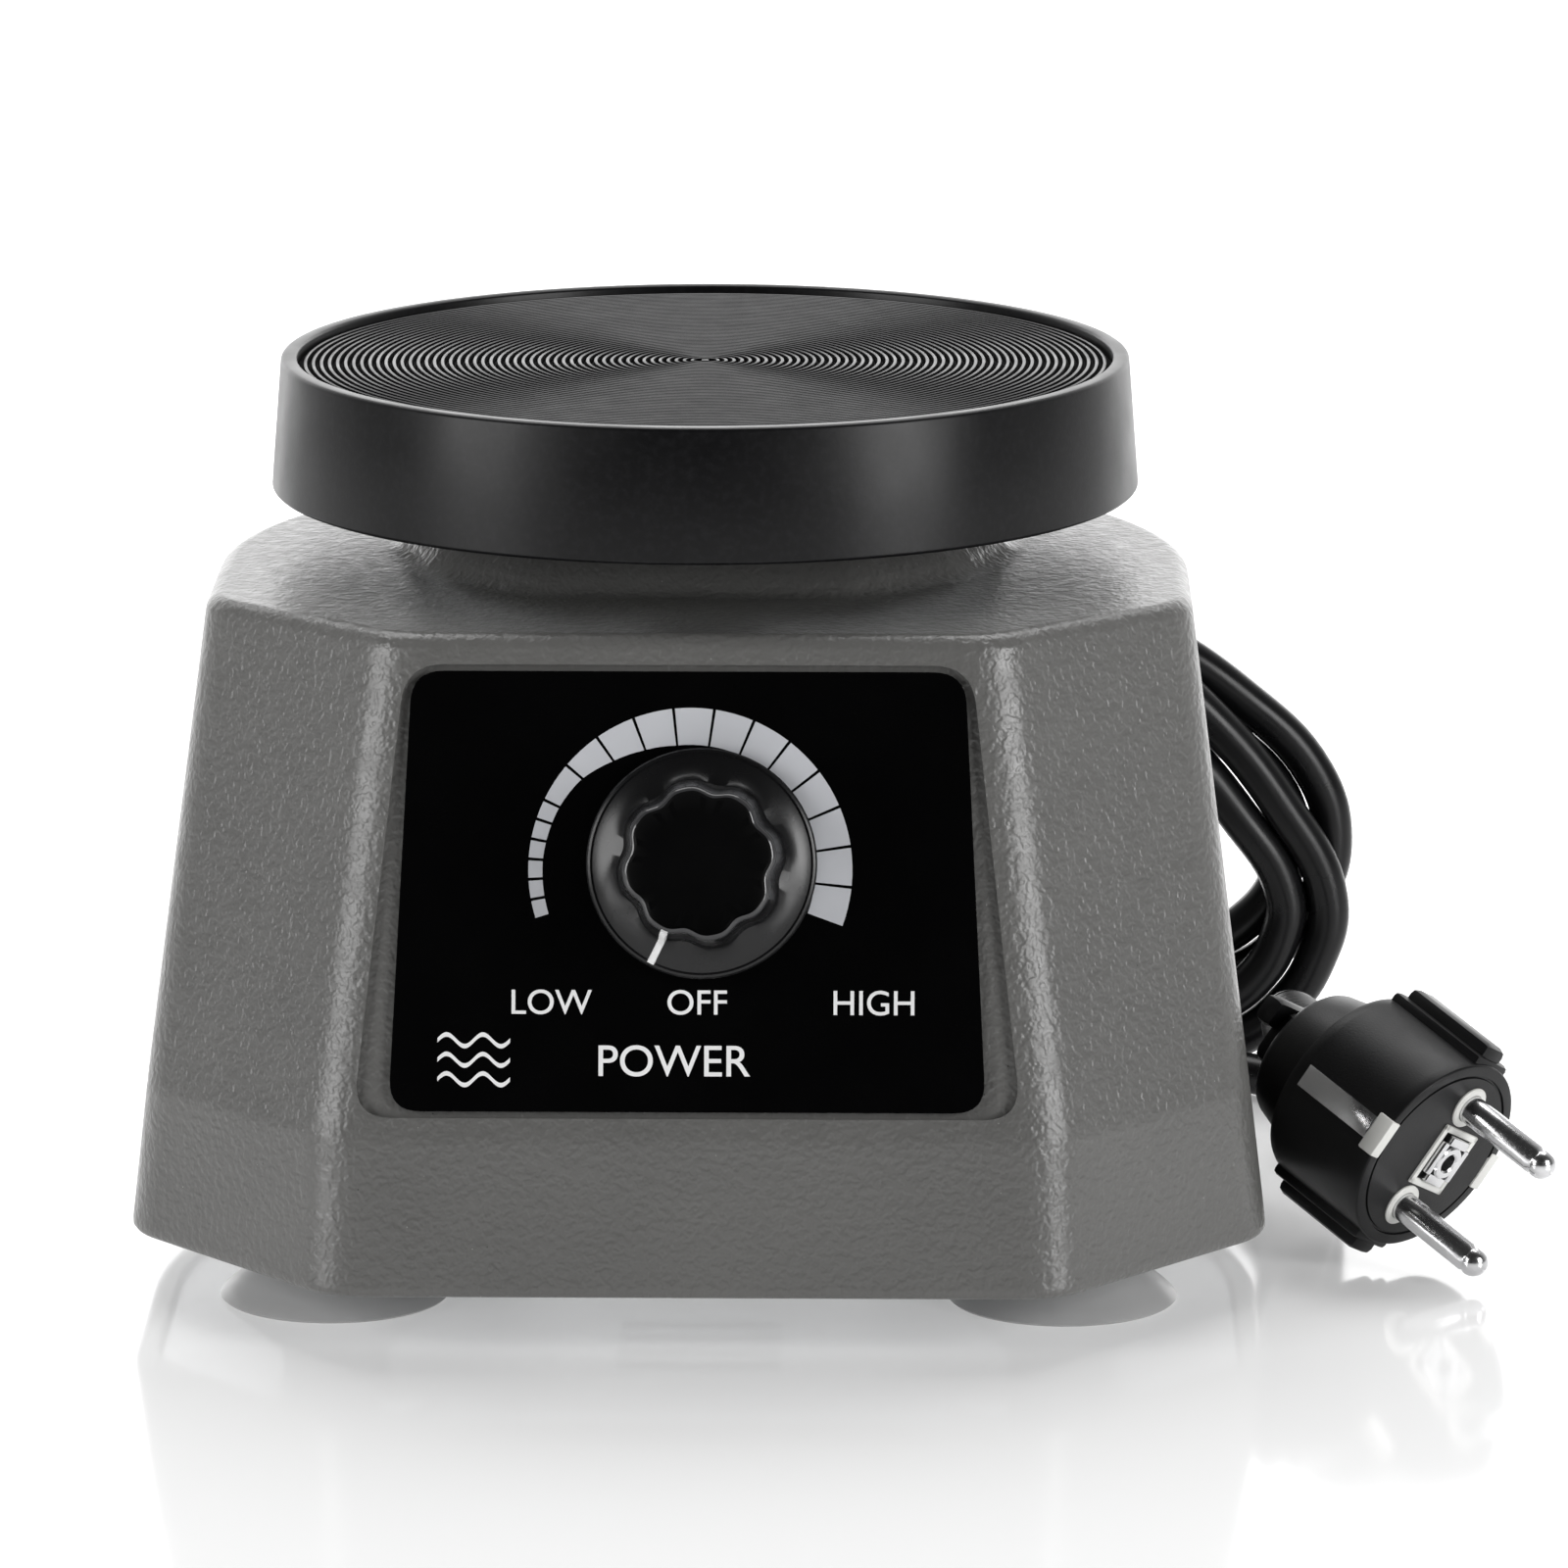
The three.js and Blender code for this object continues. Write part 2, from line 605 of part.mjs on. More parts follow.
function addTable() {
  place('armature', block(CORE_WIDTH, CORE_DEPTH, ARMATURE_THICK, ARMATURE_Z), laminated);
  place('spring_carrier', block(CARRIER.width, CARRIER.depth, CARRIER.thick, CARRIER_Z), aluminium);

  const stemTop = TABLE_PLATE_Z - GAP;
  const screwTop = TABLE_PLATE_TOP - GAP;
  const screwFoot = screwTop - TABLE_SCREW_LENGTH;
  const stem = turned([
    [0, STEM_Z],
    [STEM_FLANGE_R, STEM_Z],
    [STEM_FLANGE_R, STEM_Z + STEM_FLANGE_THICK],
    [STEM_R, STEM_Z + STEM_FLANGE_THICK],
    [STEM_R, stemTop],
    [TABLE_SCREW_R + GAP, stemTop],
    [TABLE_SCREW_R + GAP, screwFoot - GAP],
    [0, screwFoot - GAP],
  ], 28);
  place('table_stem', stem, steel);

  const headSlope = TABLE_SCREW_HEAD_R - TABLE_SCREW_R;
  const tablePlate = turned([
    [TABLE_SCREW_R + GAP, TABLE_PLATE_Z],
    [TABLE_PLATE_R, TABLE_PLATE_Z],
    [TABLE_PLATE_R, TABLE_PLATE_TOP],
    [TABLE_SCREW_HEAD_R + 3 * GAP, TABLE_PLATE_TOP],
    [TABLE_SCREW_R + GAP, TABLE_PLATE_TOP - headSlope - 2 * GAP],
    [TABLE_SCREW_R + GAP, TABLE_PLATE_Z],
  ], 64);
  place('table_plate', tablePlate, aluminium);
  const tableScrew = turned([
    [0, screwFoot],
    [TABLE_SCREW_R, screwFoot],
    [TABLE_SCREW_R, screwTop - headSlope],
    [TABLE_SCREW_HEAD_R, screwTop],
    [0, screwTop],
  ], 16);
  place('table_screw', tableScrew, steel);

  const cover = turned([
    [0, COVER_FLOOR_Z - COVER_FLOOR_THICK],
    [COVER_RIM_R - COVER_WALL, COVER_FLOOR_Z - COVER_FLOOR_THICK],
    [COVER_SKIRT_R - COVER_WALL, COVER_SKIRT_Z],
    [COVER_SKIRT_R, COVER_SKIRT_Z],
    [COVER_RIM_R, COVER_RIM_Z],
    [COVER_RIM_INNER_R, COVER_RIM_Z],
    [COVER_RIM_INNER_R, COVER_FLOOR_Z],
    [0, COVER_FLOOR_Z],
  ], 72);
  place('rubber_cover', cover, blackRubber);

  const seal = turned([
    [STEM_R + 2 * GAP, COLLAR_TOP + GAP],
    [SEAL_R, COLLAR_TOP + GAP],
    [SEAL_R - 1.5, COLLAR_TOP + GAP + SEAL_HEIGHT],
    [STEM_R + 2 * GAP, COLLAR_TOP + GAP + SEAL_HEIGHT],
    [STEM_R + 2 * GAP, COLLAR_TOP + GAP],
  ], 28);
  place('stem_seal', seal, blackRubber);
}

function knobGeometry() {
  const gripFoot = KNOB_LIFT + KNOB_SKIRT_HEIGHT;
  const skirt = turned([
    [0, KNOB_LIFT],
    [KNOB_SKIRT_R, KNOB_LIFT],
    [KNOB_SKIRT_R, KNOB_LIFT + KNOB_SKIRT_EDGE],
    [KNOB_GRIP_R - 1, gripFoot],
    [0, gripFoot],
  ], 48);
  const flutedRing = (radius, z) => (
    Array.from({ length: KNOB_FLUTES * 6 }, (_, at) => {
      const angle = (at / (KNOB_FLUTES * 6)) * 2 * Math.PI;
      const wave = Math.cos(KNOB_FLUTES * (angle - KNOB_FLUTE_ANGLE));
      const reach = radius - KNOB_FLUTE_DEPTH * (wave + 1) / 2;
      return new THREE.Vector3(reach * Math.cos(angle), reach * Math.sin(angle), z);
    })
  );
  const grip = lofted([
    flutedRing(KNOB_GRIP_R, KNOB_LIFT + KNOB_SKIRT_EDGE),
    flutedRing(KNOB_TOP_R + 0.5, KNOB_HEIGHT - 1),
    flutedRing(KNOB_TOP_R - 0.4, KNOB_HEIGHT),
  ]);
  const nutRoom = rod(NUT_R + 2, NUT_THICK + 2, 0);
  const bore = rod(SHAFT_R + GAP, KNOB_BORE_DEPTH, KNOB_LIFT + NUT_THICK, 16);
  const setScrewHole = rod(SET_SCREW_R + GAP, KNOB_GRIP_R + 2, 0, 10)
    .rotateY(90 * DEGREES).translate(0, 0, gripFoot + 3);
  return cut(join(skirt, grip), nutRoom, bore, setScrewHole);
}

function addControls() {
  const front = new THREE.Group();
  front.applyMatrix4(frontFrame);
  group.add(front);

  const panelOutline = trapezium(PANEL_TOP_HALF, PANEL_BOTTOM_HALF, PANEL_TOP, PANEL_BOTTOM, PANEL_CORNER);
  const panel = cut(
    extruded(panelOutline, PANEL_THICK).translate(PANEL_X, 0, 0),
    rod(BUSH_R + GAP, PANEL_THICK + 2, -1).translate(KNOB_X, 0, 0),
  );
  place('front_panel', panel, panelPlastic, front, 0, 0, GAP - RECESS);

  const panelFace = GAP - RECESS + PANEL_THICK;
  const bodyTop = -WALL / Math.cos(FRONT_LEAN) - GAP;
  const potentiometer = cut(
    join(rod(POT_R, POT_DEPTH, bodyTop - POT_DEPTH), rod(BUSH_R, BUSH_LENGTH + 1, bodyTop - 1)),
    rod(SHAFT_R + GAP, BUSH_LENGTH + 6, bodyTop - 4, 16),
  );
  place('potentiometer', potentiometer, steel, front, KNOB_X);
  const nut = cut(
    rod(NUT_R, NUT_THICK, panelFace + GAP, 6),
    rod(BUSH_R + GAP, NUT_THICK + 2, panelFace - GAP),
  );
  place('potentiometer_nut', nut, nickel, front, KNOB_X);

  const shaftFoot = bodyTop - 4 + GAP;
  const shaftTop = KNOB_LIFT + NUT_THICK + KNOB_BORE_DEPTH - GAP;
  place('potentiometer_shaft', rod(SHAFT_R, shaftTop - shaftFoot, shaftFoot, 16), nickel, front, KNOB_X);
  place('knob', knobGeometry(), blackPlastic, front, KNOB_X);
  const setScrewLength = KNOB_TOP_R - SHAFT_R - 3;
  const setScrew = rod(SET_SCREW_R, setScrewLength, SHAFT_R + 2 * GAP, 10).rotateY(90 * DEGREES);
  const setScrewZ = KNOB_LIFT + KNOB_SKIRT_HEIGHT + 3;
  place('knob_set_screw', setScrew, steel, front, KNOB_X, 0, setScrewZ);
}

function addElectronics() {
  const boardZ = INSIDE_Z + BOARD.rise;
  const onBoard = boardZ + BOARD.thick + GAP;
  place('circuit_board', block(BOARD.width, BOARD.depth, BOARD.thick), boardGreen, group, 0, BOARD.y, boardZ);
  for (const [side, name] of [[-1, 'left'], [1, 'right']]) {
    const pillar = rod(PILLAR_R, BOARD.rise - GAP, 0, 6);
    place(`board_pillar_${name}`, pillar, aluminium, group, side * PILLAR_X, BOARD.y, INSIDE_Z);
  }
  const boxOf = (size) => block(size.width, size.depth, size.height);
  place('capacitor', boxOf(CAPACITOR), capacitorYellow, group, CAPACITOR.x, CAPACITOR.y, onBoard);
  const heatSink = join(
    block(TRIAC.width, TRIAC.depth, TRIAC.height),
    block(TRIAC.width + HEAT_SINK.overhang, HEAT_SINK.thick, TRIAC.height + HEAT_SINK.rise)
      .translate(0, (TRIAC.depth + HEAT_SINK.thick) / 2 - 0.2, 0),
  );
  place('triac', heatSink, blackPlastic, group, TRIAC.x, TRIAC.y, onBoard);
  place('terminal_block', boxOf(TERMINAL), whitePlastic, group, TERMINAL.x, TERMINAL.y, INSIDE_Z);
  const earthScrew = screw(SCREW_R, SCREW_HEAD_R, SCREW_HEAD_HEIGHT, 0.5).rotateX(180 * DEGREES);
  place('earth_screw', earthScrew, copper, group, EARTH_SCREW.x, EARTH_SCREW.y, INSIDE_Z + 0.5);

  const wireStart = [0, BOARD.y + 4, onBoard + 1.2];
  const potBack = POT_DEPTH + WALL / Math.cos(FRONT_LEAN) + 3;
  const wireEnd = [
    KNOB_X,
    frontY(KNOB_Z) + potBack * Math.cos(FRONT_LEAN),
    KNOB_Z - potBack * Math.sin(FRONT_LEAN),
  ];
  const middle = [0, BOARD.y + 8, (wireStart[2] + wireEnd[2]) / 2];
  place('control_wires', tube([wireStart, middle, wireEnd], WIRES_R, 10), wireRed);
}

// ---- mains lead ----

function addGland() {
  const hexFoot = GLAND_BOSS_Y + GAP;
  const hexTop = hexFoot + GLAND_HEX_THICK;
  const nutFoot = GLAND_BOSS_INSIDE_Y - GAP - GLAND_NUT_THICK;
  const threadFoot = nutFoot - GLAND_THREAD_END;
  const threadLength = hexFoot - threadFoot;
  const sideways = (geometry) => geometry.rotateX(-90 * DEGREES);
  const gland = cut(
    join(rod(GLAND_R, threadLength + 1, threadFoot, 24), rod(GLAND_HEX_R, GLAND_HEX_THICK, hexFoot, 6)),
    rod(BOOT_CORE_R + GAP, threadLength + GLAND_HEX_THICK + 4, threadFoot - 1, 24),
  );
  place('cable_gland', sideways(gland), blackPlastic, group, 0, 0, GLAND_Z);
  const nut = cut(
    rod(GLAND_HEX_R, GLAND_NUT_THICK, nutFoot, 6),
    rod(GLAND_R + GAP, GLAND_NUT_THICK + 2, nutFoot - 1, 24),
  );
  place('gland_nut', sideways(nut), steel, group, 0, 0, GLAND_Z);
  const boot = turned([
    [0, threadFoot + GAP],
    [BOOT_CORE_R, threadFoot + GAP],
    [BOOT_CORE_R, hexTop + GAP],
    [BOOT_SHOULDER_R, hexTop + GAP],
    [BOOT_SHOULDER_R, hexTop + GAP + BOOT_SHOULDER_LENGTH],
    [BOOT_TIP_R, BOOT_TIP_Y],
    [0, BOOT_TIP_Y],
  ], 24);
  place('cable_boot', sideways(boot), blackRubber, group, 0, 0, GLAND_Z);

  const inletY = threadFoot - GAP;
  const terminalY = TERMINAL.y + TERMINAL.depth / 2 + 3 * GAP;
  const points = [
    [0, inletY, GLAND_Z],
    [0, (inletY * 2 + terminalY) / 3, GLAND_Z - 1],
    [0, (inletY + terminalY * 2) / 3, INSIDE_Z + TERMINAL.height / 2 + 1],
    [0, terminalY, INSIDE_Z + TERMINAL.height / 2],
  ];
  place('inner_lead', tube(points, INNER_LEAD_R, 8), blackRubber);
}

// One layer of the wound lead: a ring with two round ends, drawn from the tied end
function layerShape(span) {
  const outline = (curve, radius) => {
    curve.absarc(span, 0, radius, -90 * DEGREES, 90 * DEGREES, false);
    curve.absarc(0, 0, radius, 90 * DEGREES, 270 * DEGREES, false);
    return curve;
  };
  const shape = outline(new THREE.Shape(), COIL_BEND_R + LEAD_R);
  shape.holes.push(outline(new THREE.Path(), COIL_INNER_BEND_R - LEAD_R));
  return shape;
}

function addCoil() {
  const coil = new THREE.Group();
  const up = COIL_TIE_CENTRE.up;
  coil.position.set(
    COIL_TIE_CENTRE.x,
    COIL_FLOOR_Y - up * Math.sin(COIL_LEAN),
    up * Math.cos(COIL_LEAN),
  );
  coil.rotation.x = 90 * DEGREES + COIL_LEAN;
  group.add(coil);
  const frontLayer = extruded(layerShape(COIL_FRONT_SPAN), COIL_PITCH, -COIL_PITCH + LEAD_R, 10)
    .rotateZ(COIL_SLOPE);
  const backLayer = extruded(layerShape(COIL_BACK_SPAN), COIL_PITCH, -2 * COIL_PITCH + LEAD_R + 0.1, 10)
    .rotateZ(COIL_SLOPE + COIL_FAN);
  place('lead_coil', join(frontLayer, backLayer), blackRubber, coil);

  const bundle = COIL_BEND_R - COIL_INNER_BEND_R + 2 * LEAD_R + 3 * GAP;
  const depth = 2 * COIL_PITCH + 2 * GAP;
  const tie = frame(
    bundle + 2 * TIE_THICK, depth + 2 * TIE_THICK, bundle, depth, TIE_WIDTH, -TIE_WIDTH / 2,
  ).rotateX(90 * DEGREES);
  const middle = (COIL_BEND_R + COIL_INNER_BEND_R) / 2;
  tie.translate(-middle, 0, LEAD_R - COIL_PITCH).rotateZ(COIL_SLOPE);
  place('lead_tie', tie, whitePlastic, coil);
}

function addLeadRuns() {
  place('lead_run', tube([
    [0, 102.7, 28],
    [0, 105.5, 28],
    [0, 112, 26.8],
    [3, 123, 21.5],
    [11, 133, 13.5],
    [25, 138, 7],
    [38, 134, 3.8],
    [46, 124, 3.7],
    [50.5, 112, 3.7],
    [56.5, 102.5, 4.2],
    [66, 95, 7.2],
  ], LEAD_R, 18), blackRubber);
  place('lead_tail', tube([
    [88.8, 75.7, 3.7],
    [95.7, 71.1, 3.7],
    [101.2, 64.3, 3.7],
    [104.4, 56, 4.9],
    [103.6, 45, 11.1],
    [100.3, 35, 18.8],
    [96.6, 25, 26],
    [95.9, 15.6, 28.4],
  ], LEAD_R, 12), blackRubber);
}

function addPlug() {
  const plug = new THREE.Group();
  plug.position.set(PLUG_FACE.x, PLUG_FACE.y, PLUG_FACE.z);
  plug.rotation.set(PLUG_ROLL, PLUG_DIP, PLUG_HEADING, 'ZYX');
  group.add(plug);

  const alongPins = (geometry) => geometry.rotateY(90 * DEGREES);
  const barrel = alongPins(turned([
    [0, -PLUG_BARREL],
    [PLUG_R - 1, -PLUG_BARREL],
    [PLUG_R, -PLUG_BARREL + 3],
    [PLUG_R, 0],
    [0, 0],
  ], 32));
  const back = alongPins(turned([
    [0, -PLUG_BARREL - PLUG_BACK_LENGTH],
    [PLUG_BACK_R - 4, -PLUG_BARREL - PLUG_BACK_LENGTH],
    [PLUG_BACK_R, -PLUG_BARREL - PLUG_BACK_LENGTH + 5],
    [PLUG_BACK_R + 1, -PLUG_BARREL + 1],
    [0, -PLUG_BARREL + 1],
  ], 24));
  const rib = (side) => block(PLUG_BARREL - 2, PLUG_RIB.width, PLUG_R * 0.4 + PLUG_RIB.rise)
    .translate(-PLUG_BARREL / 2, 0, PLUG_R * 0.6)
    .rotateX(side > 0 ? 0 : 180 * DEGREES);
  const neck = turned([
    [0, 0],
    [PLUG_NECK_R, 0],
    [PLUG_NECK_R, PLUG_NECK_LENGTH * 0.35],
    [PLUG_NECK_TIP_R, PLUG_NECK_LENGTH],
    [0, PLUG_NECK_LENGTH],
  ], 20).rotateX(-90 * DEGREES).rotateZ(PLUG_NECK_ANGLE).translate(-PLUG_NECK_START, 0, 0);
  const pinHole = (side) => alongPins(rod(PIN_R + GAP, PIN_ROOT + 2, -PIN_ROOT, 16))
    .translate(0, 0, side * PIN_SPACING / 2);
  place('plug_body', cut(join(barrel, back, rib(1), rib(-1), neck), pinHole(1), pinHole(-1)), blackPlastic, plug);

  for (const [side, name] of [[1, 'upper'], [-1, 'lower']]) {
    const pin = alongPins(turned([
      [0, -PIN_ROOT + GAP],
      [PIN_R, -PIN_ROOT + GAP],
      [PIN_R, PIN_LENGTH - 1.5],
      [PIN_R - 1, PIN_LENGTH],
      [0, PIN_LENGTH],
    ], 16));
    place(`plug_pin_${name}`, pin, nickel, plug, 0, 0, side * PIN_SPACING / 2);
  }
}

addHousing();
addBasePlate();
addBaseScrews();
addSuctionCups();
addMagnet();
addSprings();
addTable();
addControls();
addElectronics();
addGland();
addCoil();
addLeadRuns();
addPlug();

export default group;
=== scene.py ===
import math

import bmesh
import bpy
from mathutils import Matrix, Vector


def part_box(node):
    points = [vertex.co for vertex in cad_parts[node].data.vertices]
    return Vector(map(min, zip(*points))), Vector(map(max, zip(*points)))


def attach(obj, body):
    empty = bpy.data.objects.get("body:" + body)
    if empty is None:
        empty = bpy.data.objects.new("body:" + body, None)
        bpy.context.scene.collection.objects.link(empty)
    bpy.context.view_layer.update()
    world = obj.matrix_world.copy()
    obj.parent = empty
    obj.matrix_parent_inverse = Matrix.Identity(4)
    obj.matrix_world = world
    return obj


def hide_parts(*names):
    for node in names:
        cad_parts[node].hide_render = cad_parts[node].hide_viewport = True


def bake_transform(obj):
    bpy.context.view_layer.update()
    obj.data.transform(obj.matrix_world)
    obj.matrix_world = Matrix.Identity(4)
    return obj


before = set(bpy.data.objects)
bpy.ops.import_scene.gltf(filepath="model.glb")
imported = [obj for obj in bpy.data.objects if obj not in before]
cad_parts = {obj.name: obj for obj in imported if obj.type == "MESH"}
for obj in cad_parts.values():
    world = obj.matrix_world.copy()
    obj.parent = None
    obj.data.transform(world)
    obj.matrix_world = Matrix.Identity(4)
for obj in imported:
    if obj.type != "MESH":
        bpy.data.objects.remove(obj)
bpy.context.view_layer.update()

# Round vibrating table for plaster work: the looks. Shapes are drawn in millimetres in the frame
# of the CAD model and turned into metres when a mesh or a curve is made.

scene = bpy.context.scene
MM = 0.001

# ---- sizes that the CAD model has too, in millimetres ----

FOOT_Z, BAND_Z, TOP_Z = 10.3, 35, 111
FOOT_LEVEL = {"side": 90.2, "front": 94.8, "front_half": 56.6, "corner_y": 57}
BAND_LEVEL = {"side": 87.2, "front": 92.4, "front_half": 55.6, "corner_y": 60}
TOP_LEVEL = {"side": 77.6, "front": 74.6, "front_half": 46.8, "corner_y": 46.5}
BACK_CENTRE_Y = -12
WALL = 3.5
CORNER_SHARE = math.tan(math.radians(22.5))  # a corner's way along its sides, per unit drawn in
UPRIGHT_R = 14
UPRIGHT_REACH = UPRIGHT_R * CORNER_SHARE
TOP_EDGE = 2.4
COLLAR_TOP = 117
STEM_HOLE_R = 12

KNOB_X, KNOB_Z = 1.4, 76.8
FRONT_LEAN = math.atan((BAND_LEVEL["front"] - TOP_LEVEL["front"]) / (TOP_Z - BAND_Z))
RECESS = 1.2
RECESS_CLEARANCE = 1
RECESS_FLARE = 4.5
PANEL = {"x": -0.8, "top": 29.6, "bottom": -38.4, "top_half": 42.7, "bottom_half": 46.1, "corner": 5}
PANEL_FACE = -0.1

GLAND_Z = 28
GLAND_BOSS_Y = 78.6  # the face that the gland sits on

LEAD_D = 7
COIL = {"x": 52.9, "up": 59.2, "floor_y": 86, "lean": 8, "slope": -48, "fan": 14}
COIL_PITCH = 7.3
COIL_OUTER_R = 28.3
COIL_INNER_R = COIL_OUTER_R - COIL_PITCH
COIL_FRONT_SPAN, COIL_BACK_SPAN = 36, 30

PLUG_FACE = Vector((117.6, -37, 18.6))
PLUG_TURN = {"heading": -45, "dip": 22.5, "roll": -26.4}
PLUG_R, PLUG_BARREL = 17, 21
PIN_SPACING, PIN_LENGTH, PIN_R = 19, 19, 2.4


def turn(degrees, axis):
    return Matrix.Rotation(math.radians(degrees), 4, axis)


def level_at(z):
    """The housing's plan sizes at a height, between its three levels."""
    low, high, share = BAND_LEVEL, TOP_LEVEL, (z - BAND_Z) / (TOP_Z - BAND_Z)
    if z < BAND_Z:
        low, high, share = FOOT_LEVEL, BAND_LEVEL, (z - FOOT_Z) / (BAND_Z - FOOT_Z)
    return {key: low[key] + (high[key] - low[key]) * share for key in low}


# The leaning front: X to the right, Y up the slope, Z out of the panel
front_frame = (
    Matrix.Translation((0, -level_at(KNOB_Z)["front"], KNOB_Z))
    @ turn(90 - math.degrees(FRONT_LEAN), "X")
)
knob_frame = front_frame @ Matrix.Translation((KNOB_X, 0, 0))

# The plug: X along the pins, Z from one pin to the other
plug_frame = (
    Matrix.Translation(PLUG_FACE)
    @ turn(PLUG_TURN["heading"], "Z") @ turn(PLUG_TURN["dip"], "Y") @ turn(PLUG_TURN["roll"], "X")
)


def smooth(t):
    t = min(max(t, 0), 1)
    return t * t * (3 - 2 * t)


# ---- camera ----

CAMERA_PLACE = (0.03624, -1.46395, 0.39703)
CAMERA_TARGET = (0.01272, 0, 0.0710)
CAMERA_LENS = 211.2


def make_camera():
    data = bpy.data.cameras.new("camera")
    data.lens = CAMERA_LENS
    camera = bpy.data.objects.new("camera", data)
    camera.location = CAMERA_PLACE
    way = Vector(CAMERA_TARGET) - camera.location
    camera.rotation_euler = way.to_track_quat("-Z", "Y").to_euler()
    scene.collection.objects.link(camera)
    scene.camera = camera


# ---- materials ----

class Paint:
    """A node material being built: short calls that add a node and join it up."""

    def __init__(self, name):
        self.material = bpy.data.materials.new(name)
        self.material.use_nodes = True
        self.tree = self.material.node_tree
        self.shader = self.tree.nodes["Principled BSDF"]
        self.place = self.add("ShaderNodeTexCoord").outputs["Object"]

    def add(self, kind, **settings):
        node = self.tree.nodes.new(kind)
        for key, value in settings.items():
            setattr(node, key, value)
        return node

    def link(self, output, target):
        self.tree.links.new(output, target)

    def noise(self, size_mm, detail=3, stretch=(1, 1, 1)):
        mapping = self.add("ShaderNodeMapping")
        mapping.inputs["Scale"].default_value = [1 / (size_mm * MM) * s for s in stretch]
        self.link(self.place, mapping.inputs["Vector"])
        node = self.add("ShaderNodeTexNoise")
        node.inputs["Scale"].default_value = 1
        node.inputs["Detail"].default_value = detail
        self.link(mapping.outputs["Vector"], node.inputs["Vector"])
        return node.outputs["Fac"]

    def cells(self, size_mm):
        """How far a point is from the middle of its cell."""
        node = self.add("ShaderNodeTexVoronoi", feature="F1")
        node.inputs["Scale"].default_value = 1 / (size_mm * MM)
        self.link(self.place, node.inputs["Vector"])
        return node.outputs["Distance"]

    def wave(self, scale_mm, direction):
        """Bands square to one axis; each is about a third of scale_mm wide."""
        node = self.add("ShaderNodeTexWave", bands_direction=direction)
        node.inputs["Scale"].default_value = 1000 / scale_mm
        self.link(self.place, node.inputs["Vector"])
        return node.outputs["Fac"]

    def ramp(self, value, stops):
        node = self.add("ShaderNodeValToRGB")
        elements = node.color_ramp.elements
        while len(elements) < len(stops):
            elements.new(1)
        for element, (position, color) in zip(elements, stops):
            element.position = position
            element.color = (*color, 1) if hasattr(color, "__len__") else (color, color, color, 1)
        self.link(value, node.inputs["Fac"])
        return node.outputs["Color"]

    def mix(self, factor, under, over_color):
        """Lays a fixed colour over another where the factor is 1."""
        node = self.add("ShaderNodeMix", data_type="RGBA", blend_type="MIX")
        self.link(factor, node.inputs["Factor"])
        self.link(under, node.inputs["A"])
        node.inputs["B"].default_value = (*over_color, 1)
        return node.outputs["Result"]

    def math(self, operation, a, b):
        node = self.add("ShaderNodeMath", operation=operation)
        for socket, value in zip(node.inputs, (a, b)):
            if isinstance(value, bpy.types.NodeSocket):
                self.link(value, socket)
            else:
                socket.default_value = value
        return node.outputs["Value"]

    def bump(self, height, depth_mm):
        """Adds a relief on top of any relief that is there already."""
        node = self.add("ShaderNodeBump")
        node.inputs["Distance"].default_value = depth_mm * MM
        node.inputs["Strength"].default_value = 1
        self.link(height, node.inputs["Height"])
        last = self.shader.inputs["Normal"].links
        if last:
            self.link(last[0].from_socket, node.inputs["Normal"])
        self.link(node.outputs["Normal"], self.shader.inputs["Normal"])

    def color(self, output):
        self.link(output, self.shader.inputs["Base Color"])

    def roughness(self, value, low, high):
        self.link(self.ramp(value, [(0.3, low), (0.7, high)]), self.shader.inputs["Roughness"])

    def set(self, **values):
        for key, value in values.items():
            self.shader.inputs[key.replace("_", " ")].default_value = value


def shade(color, factor):
    return [channel * factor for channel in color]


def plain(name, color, rough=(0.35, 0.45), grain_mm=0.6, grain_depth=0.01, patch=0.12, **sockets):
    """Moulded, cast or machined stuff: slow colour patches, fine grain, roughness that varies."""
    paint = Paint(name)
    slow = paint.noise(22)
    paint.color(paint.ramp(slow, [(0.3, shade(color, 1 - patch)), (0.7, shade(color, 1 + patch))]))
    paint.roughness(paint.noise(9), *rough)
    paint.bump(paint.noise(grain_mm, 2), grain_depth)
    paint.set(**sockets)
    return paint.material


def casting_paint():
    """Textured enamel on a casting: orange peel in two sizes, a few light specks and pinholes."""
    paint = Paint("textured_enamel")
    slow = paint.noise(30)
    base = paint.ramp(slow, [(0.3, (0.112, 0.111, 0.107)), (0.7, (0.126, 0.125, 0.120))])
    speck_middle = paint.cells(4.2)
    speck_size = paint.math("MULTIPLY", paint.noise(6, 1), 0.04)
    speck = paint.math("LESS_THAN", speck_middle, speck_size)
    base = paint.mix(speck, base, (0.34, 0.34, 0.33))
    pinhole = paint.math("LESS_THAN", paint.cells(6.7), 0.022)
    paint.color(paint.mix(pinhole, base, (0.05, 0.05, 0.048)))
    paint.roughness(paint.noise(3), 0.3, 0.42)
    paint.bump(paint.noise(6, 1), 0.04)
    hammered = paint.ramp(paint.noise(1.2, 1), [(0.36, 0), (0.64, 1)])
    paint.bump(hammered, 0.1)
    paint.set(Coat_Weight=0.2, Coat_Roughness=0.2)
    return paint.material


def rubber_paint():
    """Black rubber with a trace of grey dust."""
    paint = Paint("black_rubber")
    dust = paint.noise(1.1, 4)
    paint.color(paint.ramp(dust, [(0.45, (0.004, 0.004, 0.0045)), (0.8, (0.009, 0.009, 0.010))]))
    paint.roughness(paint.noise(12), 0.3, 0.38)
    paint.bump(paint.noise(0.5, 2), 0.008)
    paint.set(Specular_IOR_Level=0.24)
    return paint.material


